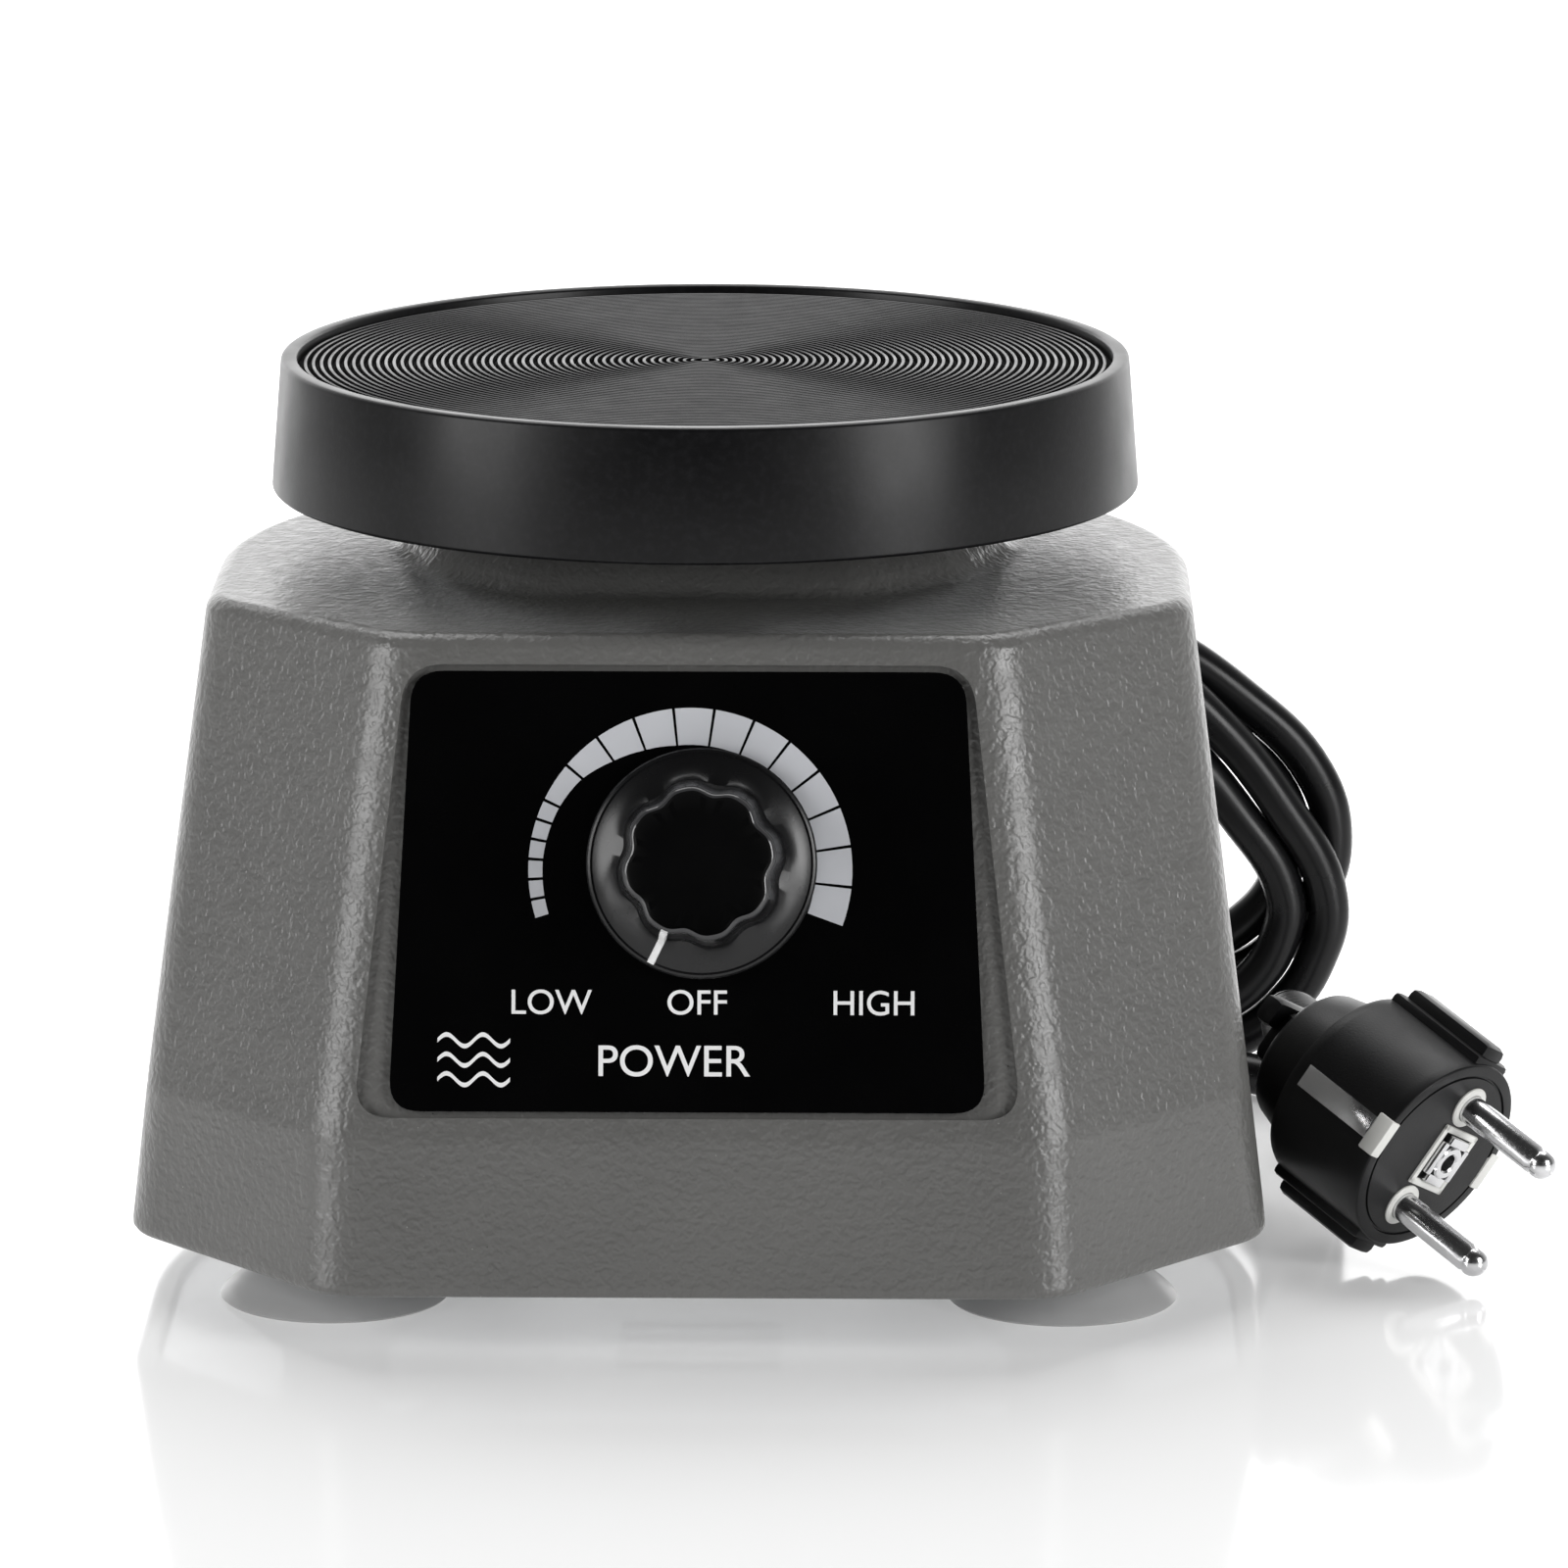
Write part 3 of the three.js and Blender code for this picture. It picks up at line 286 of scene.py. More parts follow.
def ridge_paint():
    """The ridged top: the same rubber, a little greyer than the skirt as a painted sheen."""
    paint = Paint("ridged_rubber_painted_sheen")
    dust = paint.noise(2.2, 4)
    # painted sheen: the ridged top is coloured a lighter grey than the skirt's rubber
    paint.color(paint.ramp(dust, [(0.4, (0.007, 0.007, 0.008)), (0.75, (0.016, 0.016, 0.018))]))
    paint.roughness(paint.noise(5), 0.28, 0.38)
    paint.bump(paint.noise(0.7, 2), 0.01)
    paint.set(Specular_IOR_Level=0.3)
    return paint.material


def brushed(name, color, rough, stretch):
    """Drawn, turned or plated metal: fine lines drawn out along one way, over slow patches."""
    paint = Paint(name)
    paint.color(paint.ramp(paint.noise(8), [(0.3, shade(color, 0.9)), (0.7, shade(color, 1.06))]))
    lines = paint.noise(0.5, 3, stretch)
    paint.roughness(lines, *rough)
    paint.bump(lines, 0.004)
    paint.set(Metallic=1)
    return paint.material


def laminated():
    """Iron sheets stacked along Y."""
    paint = Paint("core_laminations")
    sheets = paint.wave(3, "Y")
    paint.color(paint.ramp(sheets, [(0.1, 0.06), (0.5, 0.3)]))
    paint.roughness(paint.noise(3), 0.4, 0.6)
    paint.bump(sheets, 0.05)
    paint.set(Metallic=1)
    return paint.material


def wound_copper():
    """Strands of enamelled wire beside each other along Z."""
    paint = Paint("enamelled_wire")
    strands = paint.wave(4, "Z")
    paint.color(paint.ramp(strands, [(0.2, (0.22, 0.06, 0.02)), (0.7, (0.62, 0.24, 0.10))]))
    paint.roughness(paint.noise(3), 0.25, 0.4)
    paint.bump(strands, 0.15)
    paint.set(Metallic=1)
    return paint.material


def board_paint():
    """A green board with the pattern of its tracks."""
    paint = Paint("circuit_board")
    brick = paint.add("ShaderNodeTexBrick")
    brick.inputs["Scale"].default_value = 140
    brick.inputs["Mortar Size"].default_value = 0.05
    paint.link(paint.place, brick.inputs["Vector"])
    paint.color(paint.ramp(brick.outputs["Fac"], [(0.4, (0.012, 0.10, 0.03)), (0.6, (0.03, 0.2, 0.07))]))
    paint.roughness(paint.noise(5), 0.3, 0.45)
    paint.bump(brick.outputs["Fac"], 0.04)
    return paint.material


CASTING = casting_paint()
RUBBER = rubber_paint()
RIDGE_PAINTED_SHEEN = ridge_paint()
# painted shade: the groove floors get a darker, duller copy of the cover's rubber that stands in for the
# shade down in the grooves
GROOVE_PAINTED_SHADE = plain("groove_painted_shade", (0.003, 0.003, 0.0033), (0.8, 0.9), 0.7, Specular_IOR_Level=0.06)
CUP = plain("grey_rubber", (0.42, 0.42, 0.42), (0.3, 0.42), 1.2, patch=0.05, Subsurface_Weight=0.15)
CUP.node_tree.nodes["Principled BSDF"].inputs["Subsurface Radius"].default_value = (0.004, 0.004, 0.004)
FILM = plain("panel_film", (0.0012, 0.0012, 0.0013), (0.22, 0.3), 0.9, 0.004, Specular_IOR_Level=0.06)
PRINT = plain("white_print", (0.83, 0.83, 0.83), (0.4, 0.5), 1.5, 0.003, 0.03)
SCALE_PRINT = plain("scale_print", (0.56, 0.57, 0.6), (0.4, 0.5), 0.8, 0.003, 0.06)
KNOB_TOP = plain("knob_top", (0.0015, 0.0015, 0.0016), (0.4, 0.5), 0.4, 0.006, Specular_IOR_Level=0.05)
KNOB_BLACK = plain("knob_plastic", (0.006, 0.006, 0.0065), (0.24, 0.3), 0.5, 0.006, Specular_IOR_Level=0.4)
# painted highlight: the knob's top edge is the same polished black plastic, coloured lighter grey to stand in
# for the light it catches
KNOB_RIM_PAINTED_HIGHLIGHT = plain("knob_rim_painted_highlight", (0.04, 0.04, 0.042), (0.12, 0.18), 2, 0.002)
PLUG_BLACK = plain("plug_plastic", (0.006, 0.006, 0.0065), (0.34, 0.44), 0.35, 0.02, Specular_IOR_Level=0.25)
WHITE = plain("white_plastic", (0.75, 0.75, 0.72), (0.35, 0.5), 1, patch=0.05)
SHEATH = plain("lead_sheath", (0.006, 0.006, 0.0065), (0.25, 0.33), 1.6, Specular_IOR_Level=0.28)
PLATED = brushed("plated", (0.74, 0.74, 0.75), (0.14, 0.24), (1, 1, 1))
STEEL = brushed("bright_steel", (0.52, 0.53, 0.54), (0.25, 0.4), (0.1, 1, 1))
ALUMINIUM = brushed("turned_aluminium", (0.62, 0.63, 0.64), (0.25, 0.4), (1, 1, 0.1))
COPPER = brushed("copper", (0.6, 0.36, 0.16), (0.25, 0.4), (1, 1, 1))


# ---- mesh helpers ----

def finish_mesh(name, bm, materials, sharp=35):
    """Turns a bmesh in millimetres into an object in metres, smooth apart from its sharp edges."""
    bmesh.ops.remove_doubles(bm, verts=bm.verts, dist=1e-4)
    bmesh.ops.recalc_face_normals(bm, faces=bm.faces)
    bmesh.ops.scale(bm, vec=(MM, MM, MM), verts=bm.verts)
    mesh = bpy.data.meshes.new(name)
    bm.to_mesh(mesh)
    bm.free()
    for material in materials:
        mesh.materials.append(material)
    mesh.shade_smooth()
    mesh.set_sharp_from_angle(angle=math.radians(sharp))
    piece = bpy.data.objects.new(name, mesh)
    scene.collection.objects.link(piece)
    return piece


def settle(piece, body, slot, *nodes):
    """Rides on a body and stands for the CAD nodes, which it hides; slot is not used."""
    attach(piece, body)
    if nodes:
        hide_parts(*nodes)


def add_rings(bm, rings, material=0, wrap=False):
    """Skins over closed rings of equal point counts; a ring of one point is a tip."""
    made = [[bm.verts.new(point) for point in ring] for ring in rings]
    pairs = list(zip(made, made[1:]))
    if wrap:
        pairs.append((made[-1], made[0]))
    for low, high in pairs:
        count = max(len(low), len(high))
        for at in range(count):
            nxt = (at + 1) % count
            corners = [low[at % len(low)], low[nxt % len(low)], high[nxt % len(high)], high[at % len(high)]]
            corners = list(dict.fromkeys(corners))
            if len(corners) > 2:
                bm.faces.new(corners).material_index = material
    return made


def circle(radius, z, count, place=Matrix.Identity(4)):
    if radius == 0:
        return [place @ Vector((0, 0, z))]
    angles = [2 * math.pi * at / count for at in range(count)]
    return [place @ Vector((radius * math.cos(a), radius * math.sin(a), z)) for a in angles]


def add_turned(bm, profile, count=64, place=Matrix.Identity(4), material=0, wrap=False):
    """A turned solid: profile is a list of [radius, height] from one end of the axis to the other."""
    add_rings(bm, [circle(r, z, count, place) for r, z in profile], material, wrap)


def add_block(bm, lo, hi, place=Matrix.Identity(4), edge=0.3):
    """A block with softened edges."""
    block = bmesh.ops.create_cube(bm, size=1)["verts"]
    size = Vector(hi) - Vector(lo)
    middle = (Vector(hi) + Vector(lo)) / 2
    for vert in block:
        vert.co = Vector((vert.co.x * size.x, vert.co.y * size.y, vert.co.z * size.z)) + middle
    edges = list({e for v in block for e in v.link_edges})
    faces = {f for v in block for f in v.link_faces}
    made = bmesh.ops.bevel(
        bm, geom=edges, offset=edge, segments=2, profile=0.5, affect="EDGES", clamp_overlap=True,
    )
    everything = {f for f in faces if f.is_valid} | set(made["faces"])
    for vert in {v for f in everything for v in f.verts}:
        vert.co = place @ vert.co


def arc(centre_r, centre_z, radius, start, end, steps):
    """Points [r, z] on an arc, angles in degrees, for a turned profile."""
    angles = [math.radians(start + (end - start) * at / steps) for at in range(steps + 1)]
    return [[centre_r + radius * math.cos(a), centre_z + radius * math.sin(a)] for a in angles]


# ---- mains lead ----

def coil_point(angle, radius, layer):
    """A point on the wound part: layer 0 is the front one, 1 the back one, -1 a strand in front of both."""
    back = max(layer, 0)
    span = COIL_FRONT_SPAN + (COIL_BACK_SPAN - COIL_FRONT_SPAN) * back
    axis = math.radians(COIL["slope"] + COIL["fan"] * back)
    along = Vector((math.cos(axis), math.sin(axis)))
    across = Vector((-along.y, along.x))
    a = math.radians(angle)
    spread = 1.6  # over 1: the strand is at the end of the span before its turn is done
    end = 0.5 + 0.5 * min(max(spread * math.cos(a), -1), 1)
    flat = along * (span * end + radius * math.cos(a)) + across * (radius * math.sin(a))
    lean = math.radians(COIL["lean"])
    up, depth = COIL["up"] + flat.y, COIL_PITCH * layer
    return Vector((
        COIL["x"] + flat.x,
        COIL["floor_y"] - up * math.sin(lean) + depth * math.cos(lean),
        up * math.cos(lean) + depth * math.sin(lean),
    ))


def coil_points():
    """Four turns: outer and inner at the back, then inner and outer at the front, and out below.

    Each change to the next turn starts a whole turn after the last one; angles are in degrees.
    """
    points = []
    start, end, step = -56, 4 * 360 - 42, 22.5
    count = round((end - start) / step)
    first_change, change = 215, 85
    leave_start, leave = 1262, 60
    tuck, drop = 4, 0.8
    for at in range(count + 1):
        angle = start + (end - start) * at / count
        inwards = smooth((angle - first_change) / change)
        to_front = smooth((angle - first_change - 360) / change)
        outwards = smooth((angle - first_change - 720) / change)
        leaving = smooth((angle - leave_start) / leave)
        radius = COIL_OUTER_R - COIL_PITCH * (inwards - outwards)
        radius -= tuck * math.sin(math.pi * to_front) + drop * leaving
        points.append(coil_point(angle, radius, 1 - to_front - leaving))
    return points


def make_lead():
    """One tube along the run from the gland, the wound part and the tail that goes to the plug."""
    run = [
        [0, 97, GLAND_Z], [0, 102.7, GLAND_Z], [0, 105.5, GLAND_Z], [0, 112, 26.8], [3, 123, 21.5],
        [11, 133, 13.5], [25, 138, 7], [38, 134, 3.8], [46, 124, 3.7], [50.5, 112, 3.7],
        [56.5, 102.5, 4.2], [66, 95, 7.2],
    ]
    tail = [
        [88.8, 75.7, 3.7], [95.7, 71.1, 3.7], [101.2, 64.3, 3.7], [104.4, 56, 4.9], [103.6, 45, 11.1],
        [100.3, 35, 18.8], [96.6, 25, 26], [95.9, 15.6, 28.4], [96.2, 11.5, 28.5],
    ]
    points = run + coil_points() + tail
    curve = bpy.data.curves.new("mains_lead", "CURVE")
    curve.dimensions = "3D"
    curve.bevel_depth = LEAD_D / 2 * MM
    curve.bevel_resolution = 6
    curve.resolution_u = 8
    curve.use_fill_caps = True
    spline = curve.splines.new("BEZIER")
    spline.bezier_points.add(len(points) - 1)
    for knot, point in zip(spline.bezier_points, points):
        knot.co = Vector(point) * MM
        knot.handle_left_type = knot.handle_right_type = "AUTO"
    curve.materials.append(SHEATH)
    lead = bpy.data.objects.new("mains_lead", curve)
    scene.collection.objects.link(lead)
    settle(lead, "base", "lead_sheath", "lead_run", "lead_coil", "lead_tail")
    return lead


def make_tie():
    """The strap that holds the wound part together at its upper end."""
    lean = math.radians(COIL["lean"])
    origin = Vector((
        COIL["x"], COIL["floor_y"] - COIL["up"] * math.sin(lean), COIL["up"] * math.cos(lean),
    ))
    place = Matrix.Translation(origin) @ turn(90 + COIL["lean"], "X") @ turn(COIL["slope"], "Z")
    middle = (COIL_OUTER_R + COIL_INNER_R) / 2
    centre = Vector((-middle, 0, -COIL_PITCH / 2))
    half_reach, thick, half_strap = 8, 1.3, 2.5
    count, squareness = 48, 0.6

    def loop(grow, y):
        ring = []
        for at in range(count):
            a = 2 * math.pi * at / count
            c, s = math.cos(a), math.sin(a)
            ring.append(place @ (centre + Vector((
                (half_reach + grow) * math.copysign(abs(c) ** squareness, c), y,
                (half_reach + grow) * math.copysign(abs(s) ** squareness, s),
            ))))
        return ring

    bm = bmesh.new()
    shoulder, edge = thick * 0.8, half_strap - 0.4
    rings = [loop(0, -half_strap), loop(shoulder, -half_strap), loop(thick, -edge)]
    rings += [loop(thick, edge), loop(shoulder, half_strap), loop(0, half_strap)]
    add_rings(bm, rings, wrap=True)
    buckle = centre + Vector((0, 0, -half_reach - thick - 1))
    half_buckle = Vector((3, 3.6, 1.4))
    add_block(bm, buckle - half_buckle, buckle + half_buckle, place, 0.6)
    settle(finish_mesh("lead_tie_strap", bm, [WHITE]), "base", "white_plastic", "lead_tie")


# ---- plug ----

CLIP_Y = 2.6  # the earth clip's middle, off the plug's middle


def plug_side(side):
    """The plug's frame, turned so that one of its two flanks faces +Z."""
    return plug_frame @ turn(0 if side > 0 else 180, "X")


def pin_frame(side):
    """Z along a pin, outwards from the plug's face."""
    return plug_frame @ Matrix.Translation((0, 0, side * PIN_SPACING / 2)) @ turn(90, "Y")


def make_plug():
    make_plug_moulding()
    make_earth_contacts()
    make_insulators()
    for side, name in ((1, "upper"), (-1, "lower")):
        make_pin(side, name)


def make_plug_moulding():
    """Barrel with a facing disc, long grip ribs, a square back block and the angled, grooved neck."""
    barrel_frame = plug_frame @ turn(90, "Y")
    bm = bmesh.new()
    profile = [[0, -31]] + arc(9.5, -28.5, 2.5, -90, -20, 4)
    profile += [[13.6, -22.6], [PLUG_R - 0.5, -PLUG_BARREL]]
    profile += [[PLUG_R - 0.1, -20.2], [PLUG_R, -19], [PLUG_R, -2]] + arc(PLUG_R - 0.4, -0.4, 0.4, 0, 90, 3)
    profile += [[15.1, 0], [15.0, -0.35], [14.7, -0.35], [14.6, 0], [0, 0]]
    add_turned(bm, profile, 96, barrel_frame)
    for side in (1, -1):
        flank = plug_side(side)
        add_block(bm, (-20.6, -5.0, 9), (-0.6, 5.0, PLUG_R + 0.8), flank, 0.8)
        add_block(bm, (-19.4, -3.4, 12), (-1.2, 3.0, PLUG_R + 2.9), flank, 1.2)
    add_block(bm, (-36, -6, -5), (-20, 12, 4.5), plug_frame, 1.8)
    add_block(bm, (-38, -9, 0.5), (-34, 12, 5.5), plug_frame, 1.4)
    neck = plug_frame @ Matrix.Translation((-27, 0, 0)) @ turn(46, "Z") @ turn(-90, "X")
    sleeve = [[0, -2], [7.9, -2], [7.9, 9], [7.4, 10.5]]
    first_rib, rib_pitch, rib_r, taper = 12, 3.4, 7.0, 0.36
    for at in range(6):
        z = first_rib + at * rib_pitch
        r = rib_r - at * taper
        sleeve += [[r, z], [r, z + 1.9], [r - 1.1, z + 2.3], [r - 1.1, z + 3]]
    sleeve += [[4.9, 32.6], [4.7, 33.7], [4.3, 34], [3.6, 34], [3.6, 20], [0, 20]]
    add_turned(bm, sleeve, 48, neck)
    settle(finish_mesh("plug_moulding", bm, [PLUG_BLACK], 30), "base", "plug_plastic", "plug_body")


def make_earth_contacts():
    """The two earth strips along the barrel and the sprung earth clip in the face."""
    bm = bmesh.new()
    for side in (1, -1):
        add_block(bm, (-18.5, -PLUG_R - 0.2, -2.6), (-2.8, -PLUG_R + 1.6, 1.4), plug_side(side), 0.2)
    place = plug_frame @ Matrix.Translation((0, CLIP_Y, 0))
    ring = [[1.5, -0.6], [1.5, 1.25], [1.8, 1.5], [2.7, 1.5], [3.0, 1.2], [3.0, -0.6]]
    add_turned(bm, ring, 40, place @ turn(90, "Y"), wrap=True)
    back, front = 0.1, 1.3
    for near, far in ((2.7, 4.3), (-4.3, -2.7)):
        add_block(bm, (back, -2.6, near), (front, 2.6, far), place, 0.3)
    for near, far in ((-3.9, -2.5), (2.5, 3.9)):
        add_block(bm, (back, near, -3), (front, far, 3), place, 0.3)
    settle(finish_mesh("plug_earth_contacts", bm, [PLATED]), "base", "plated")


def make_insulators():
    """White pieces: a collar at each pin, the strip ends at the rim and the frame round the earth clip."""
    bm = bmesh.new()
    collar = [[PIN_R, -1], [3.6, -1], [3.6, 0.25], [3.3, 0.5], [PIN_R + 0.1, 0.5]]
    for side in (1, -1):
        add_turned(bm, collar, 40, pin_frame(side), wrap=True)
        add_block(bm, (-2.9, -PLUG_R - 0.15, -4.2), (0.25, -PLUG_R + 2.3, 2.4), plug_side(side), 0.3)
    place = plug_frame @ Matrix.Translation((0, CLIP_Y, 0))
    back, front, half_z, half_y = -0.6, 0.45, 5.6, 5.2
    inner_z, inner_y = 4.4, 4.0
    add_block(bm, (back, -half_y, -half_z), (front, -inner_y, half_z), place, 0.3)
    add_block(bm, (back, inner_y, -half_z), (front, half_y, half_z), place, 0.3)
    add_block(bm, (back, -half_y, -half_z), (front, half_y, -inner_z), place, 0.3)
    add_block(bm, (back, -half_y, inner_z), (front, half_y, half_z), place, 0.3)
    settle(finish_mesh("plug_insulators", bm, [WHITE]), "base", "white_plastic")


def make_pin(side, name):
    """A plated pin with a rounded tip and a shallow groove before it."""
    bm = bmesh.new()
    root, tip, groove_r = -4.7, PIN_LENGTH - PIN_R * 0.9, PIN_R * 0.86
    profile = [[0, root], [PIN_R, root], [PIN_R, tip - 1.4], [groove_r, tip - 0.9], [groove_r, tip - 0.5]]
    profile += arc(0, tip, PIN_R, -5, 90, 8)[:-1] + [[0, PIN_LENGTH - 0.1]]
    add_turned(bm, profile, 40, pin_frame(side))
    settle(finish_mesh(f"pin_{name}", bm, [PLATED]), "base", "plated", f"plug_pin_{name}")


# ---- housing ----

UPRIGHT_POINTS = 13  # along each rounded upright edge
BACK_POINTS = 97  # round the back half


def plan(z, inset):
    """The housing's plan at a height, drawn in from the outside, anticlockwise from the front left."""
    level = level_at(z)
    shorten = inset * CORNER_SHARE
    side, front = level["side"] - inset, level["front"] - inset
    half, corner_y = level["front_half"] - shorten, level["corner_y"] - shorten
    corners = [Vector(p) for p in ((-side, -corner_y), (-half, -front), (half, -front), (side, -corner_y))]
    before = [Vector((-side, BACK_CENTRE_Y))] + corners[:3]
    after = corners[1:] + [Vector((side, BACK_CENTRE_Y))]
    points = []
    for corner, previous, following in zip(corners, before, after):
        start = corner + (previous - corner).normalized() * UPRIGHT_REACH
        end = corner + (following - corner).normalized() * UPRIGHT_REACH
        for at in range(UPRIGHT_POINTS):
            t = at / (UPRIGHT_POINTS - 1)
            points.append(start * (1 - t) ** 2 + corner * 2 * t * (1 - t) + end * t * t)
    for at in range(BACK_POINTS):
        a = math.pi * at / (BACK_POINTS - 1)
        points.append(Vector((side * math.cos(a), BACK_CENTRE_Y + side * math.sin(a))))
    return points


def section(z, inset):
    """The plan as points in space."""
    return [Vector((p.x, p.y, z)) for p in plan(z, inset)]


def toward_circle(radius, z):
    """A circle with a point for each point of the plan, in the same directions."""
    return [Vector((p.x, p.y, 0)).normalized() * radius + Vector((0, 0, z)) for p in plan(TOP_Z, TOP_EDGE)]


def trapezium(grow, flare, depth):
    """The panel's outline in the front frame, with rounded corners; flare widens its foot only."""
    bottom, top = PANEL["bottom"] - grow, PANEL["top"] + grow
    low, high = PANEL["bottom_half"] + grow + flare, PANEL["top_half"] + grow
    corners = [Vector(p) for p in ((-low, bottom), (low, bottom), (high, top), (-high, top))]
    radius = PANEL["corner"] + grow
    ring = []
    for at, corner in enumerate(corners):
        start = corner + (corners[at - 1] - corner).normalized() * radius
        end = corner + (corners[(at + 1) % 4] - corner).normalized() * radius
        for step in range(9):
            t = step / 8
            point = start * (1 - t) ** 2 + corner * 2 * t * (1 - t) + end * t * t
            ring.append(Vector((point.x + PANEL["x"], point.y, depth)))
    return ring


def capped(bm, rings):
    """A closed prism-like solid from rings, with flat ends."""
    made = add_rings(bm, rings)
    bm.faces.new(reversed(made[0]))
    bm.faces.new(made[-1])


def apply_boolean(piece, tool, operation):
    """Cuts or joins the tool into the piece's own mesh and throws the tool away."""
    modifier = piece.modifiers.new("boolean", "BOOLEAN")
    modifier.operation = operation
    modifier.object = tool
    modifier.solver = "EXACT"
    graph = bpy.context.evaluated_depsgraph_get()
    mesh = bpy.data.meshes.new_from_object(piece.evaluated_get(graph))
    piece.modifiers.remove(modifier)
    piece.data = mesh
    bpy.data.objects.remove(tool)


def make_housing():
    """One casting: leaning walls with a low band, a rounded top edge, a collar and a shallow recess."""
    bm = bmesh.new()
    foot_edge = ((0, 1.4), (0.25, 0.6), (0.9, 0.1), (1.8, 0))
    rings = [section(FOOT_Z + rise, inset) for rise, inset in foot_edge]
    rings += [section(BAND_Z - 1, 0), section(BAND_Z, 0.06), section(BAND_Z + 1, 0)]
    for at in range(8):
        a = math.radians(90 * at / 7)
        rings.append(section(TOP_Z - TOP_EDGE * (1 - math.sin(a)), TOP_EDGE * (1 - math.cos(a))))
    collar = [[53, TOP_Z], [51, 111.15], [49.6, 111.7], [48.6, 112.6], [47.6, 113.8]]
    collar += [[45.2, 115.9], [44.4, 116.5], [43.4, 116.88], [42.2, COLLAR_TOP]]
    collar += [[STEM_HOLE_R + 0.8, COLLAR_TOP], [STEM_HOLE_R + 0.2, COLLAR_TOP - 0.2]]
    collar += [[STEM_HOLE_R, COLLAR_TOP - 0.8], [STEM_HOLE_R, TOP_Z - WALL]]
    rings += [toward_circle(r, z) for r, z in collar]
    rings += [section(TOP_Z - WALL, WALL), section(BAND_Z, WALL), section(FOOT_Z, WALL)]
    add_rings(bm, rings, wrap=True)
    housing = finish_mesh("housing_casting", bm, [CASTING], 40)

    tool = bmesh.new()
    capped(tool, [trapezium(RECESS_CLEARANCE, RECESS_FLARE, z) for z in (-RECESS, 3)])
    bmesh.ops.transform(tool, matrix=front_frame, verts=tool.verts)
    apply_boolean(housing, finish_mesh("recess_tool", tool, [CASTING]), "DIFFERENCE")
    tool = bmesh.new()
    gland = Matrix.Translation((0, 0, GLAND_Z)) @ turn(-90, "X")
    boss = [[0, 72], [15.5, 72], [14, 73.6], [13.3, 75.4], [13, 77.6], [12.6, 78.3], [12, GLAND_BOSS_Y]]
    add_turned(tool, boss + [[0, GLAND_BOSS_Y]], 64, gland)
    apply_boolean(housing, finish_mesh("boss_tool", tool, [CASTING]), "UNION")
    tool = bmesh.new()
    hole_r, hole_start, hole_end = 7.8, 60, 90
    add_turned(tool, [[0, hole_start], [hole_r, hole_start], [hole_r, hole_end], [0, hole_end]], 48, gland)
    apply_boolean(housing, finish_mesh("gland_hole_tool", tool, [CASTING]), "DIFFERENCE")

    soften_recess(housing)
    housing.data.shade_smooth()
    housing.data.set_sharp_from_angle(angle=math.radians(40))
    weigh_normals(housing)
    settle(housing, "base", "painted_casting", "housing")


def soften_recess(housing):
    """Rounds the rim of the panel's recess, as thick paint does."""
    bm = bmesh.new()
    bm.from_mesh(housing.data)
    inverse = front_frame.inverted()
    half_width, low, high = 56, -44, 36
    rim = []
    for edge in bm.edges:
        local = [inverse @ (vert.co / MM) for vert in edge.verts]
        on_wall = max(abs(p.z) for p in local) <= 0.06
        if len(edge.link_faces) != 2 or not on_wall:
            continue
        by_panel = all(abs(p.x) < half_width and low < p.y < high for p in local)
        if by_panel and edge.calc_face_angle() > math.radians(60):
            rim.append(edge)
    bmesh.ops.bevel(
        bm, geom=rim, offset=0.55 * MM, segments=3, profile=0.5, affect="EDGES", clamp_overlap=True,
    )
    bm.to_mesh(housing.data)
    bm.free()


def weigh_normals(piece):
    modifier = piece.modifiers.new("weighted", "WEIGHTED_NORMAL")
    modifier.keep_sharp = True
    modifier.weight = 100


# ---- vibrating table ----

def make_cover():
    """The rubber cover: a skirt, a flat rim and round ridges on a sunken floor."""
    rim_z, floor_z, ridge_z, foot_z, floor_r = 142.3, 140.2, 141.2, 121.1, 65.7
    count = 192
    bm = bmesh.new()
    outside = [[66.3, 122.4], [66.3, foot_z], [69.6, foot_z]] + arc(69.4, 121.7, 0.6, -60, 0, 3)
    outside += [[69.2, 132]] + arc(67.75, rim_z - 0.7, 0.7, 4, 90, 4)
    outside += [[66.2, rim_z], [65.9, rim_z - 0.2], [65.8, rim_z - 0.5], [floor_r, floor_z]]
    add_turned(bm, outside, count)
    ridge_count, ridge_pitch, first_ridge_r = 49, 1.3, 64.9
    ridges = [[floor_r, floor_z]]
    for at in range(ridge_count):
        r = first_ridge_r - at * ridge_pitch
        ridges += [[r, floor_z], [r - 0.05, ridge_z - 0.4], [r - 0.18, ridge_z - 0.12], [r - 0.42, ridge_z]]
        ridges += [[r - 0.66, ridge_z - 0.12], [r - 0.79, ridge_z - 0.4], [r - 0.84, floor_z]]
    ridges += [[0.9, floor_z], [0.6, ridge_z - 0.1], [0, ridge_z]]
    add_turned(bm, ridges, count, material=1)
    # faces low in the grooves take the painted shade material
    groove_z = ridge_z - 0.22
    for face in bm.faces:
        if face.material_index == 1 and face.calc_center_median().z < groove_z:
            face.material_index = 2
    under = [[0, 134.2], [64.4, 134.2], [65.2, 133.6], [66.3, 122.4]]
    add_turned(bm, under, count)
    cover = finish_mesh("ridged_cover", bm, [RUBBER, RIDGE_PAINTED_SHEEN, GROOVE_PAINTED_SHADE], 38)
    settle(cover, "table", "black_rubber", "rubber_cover")


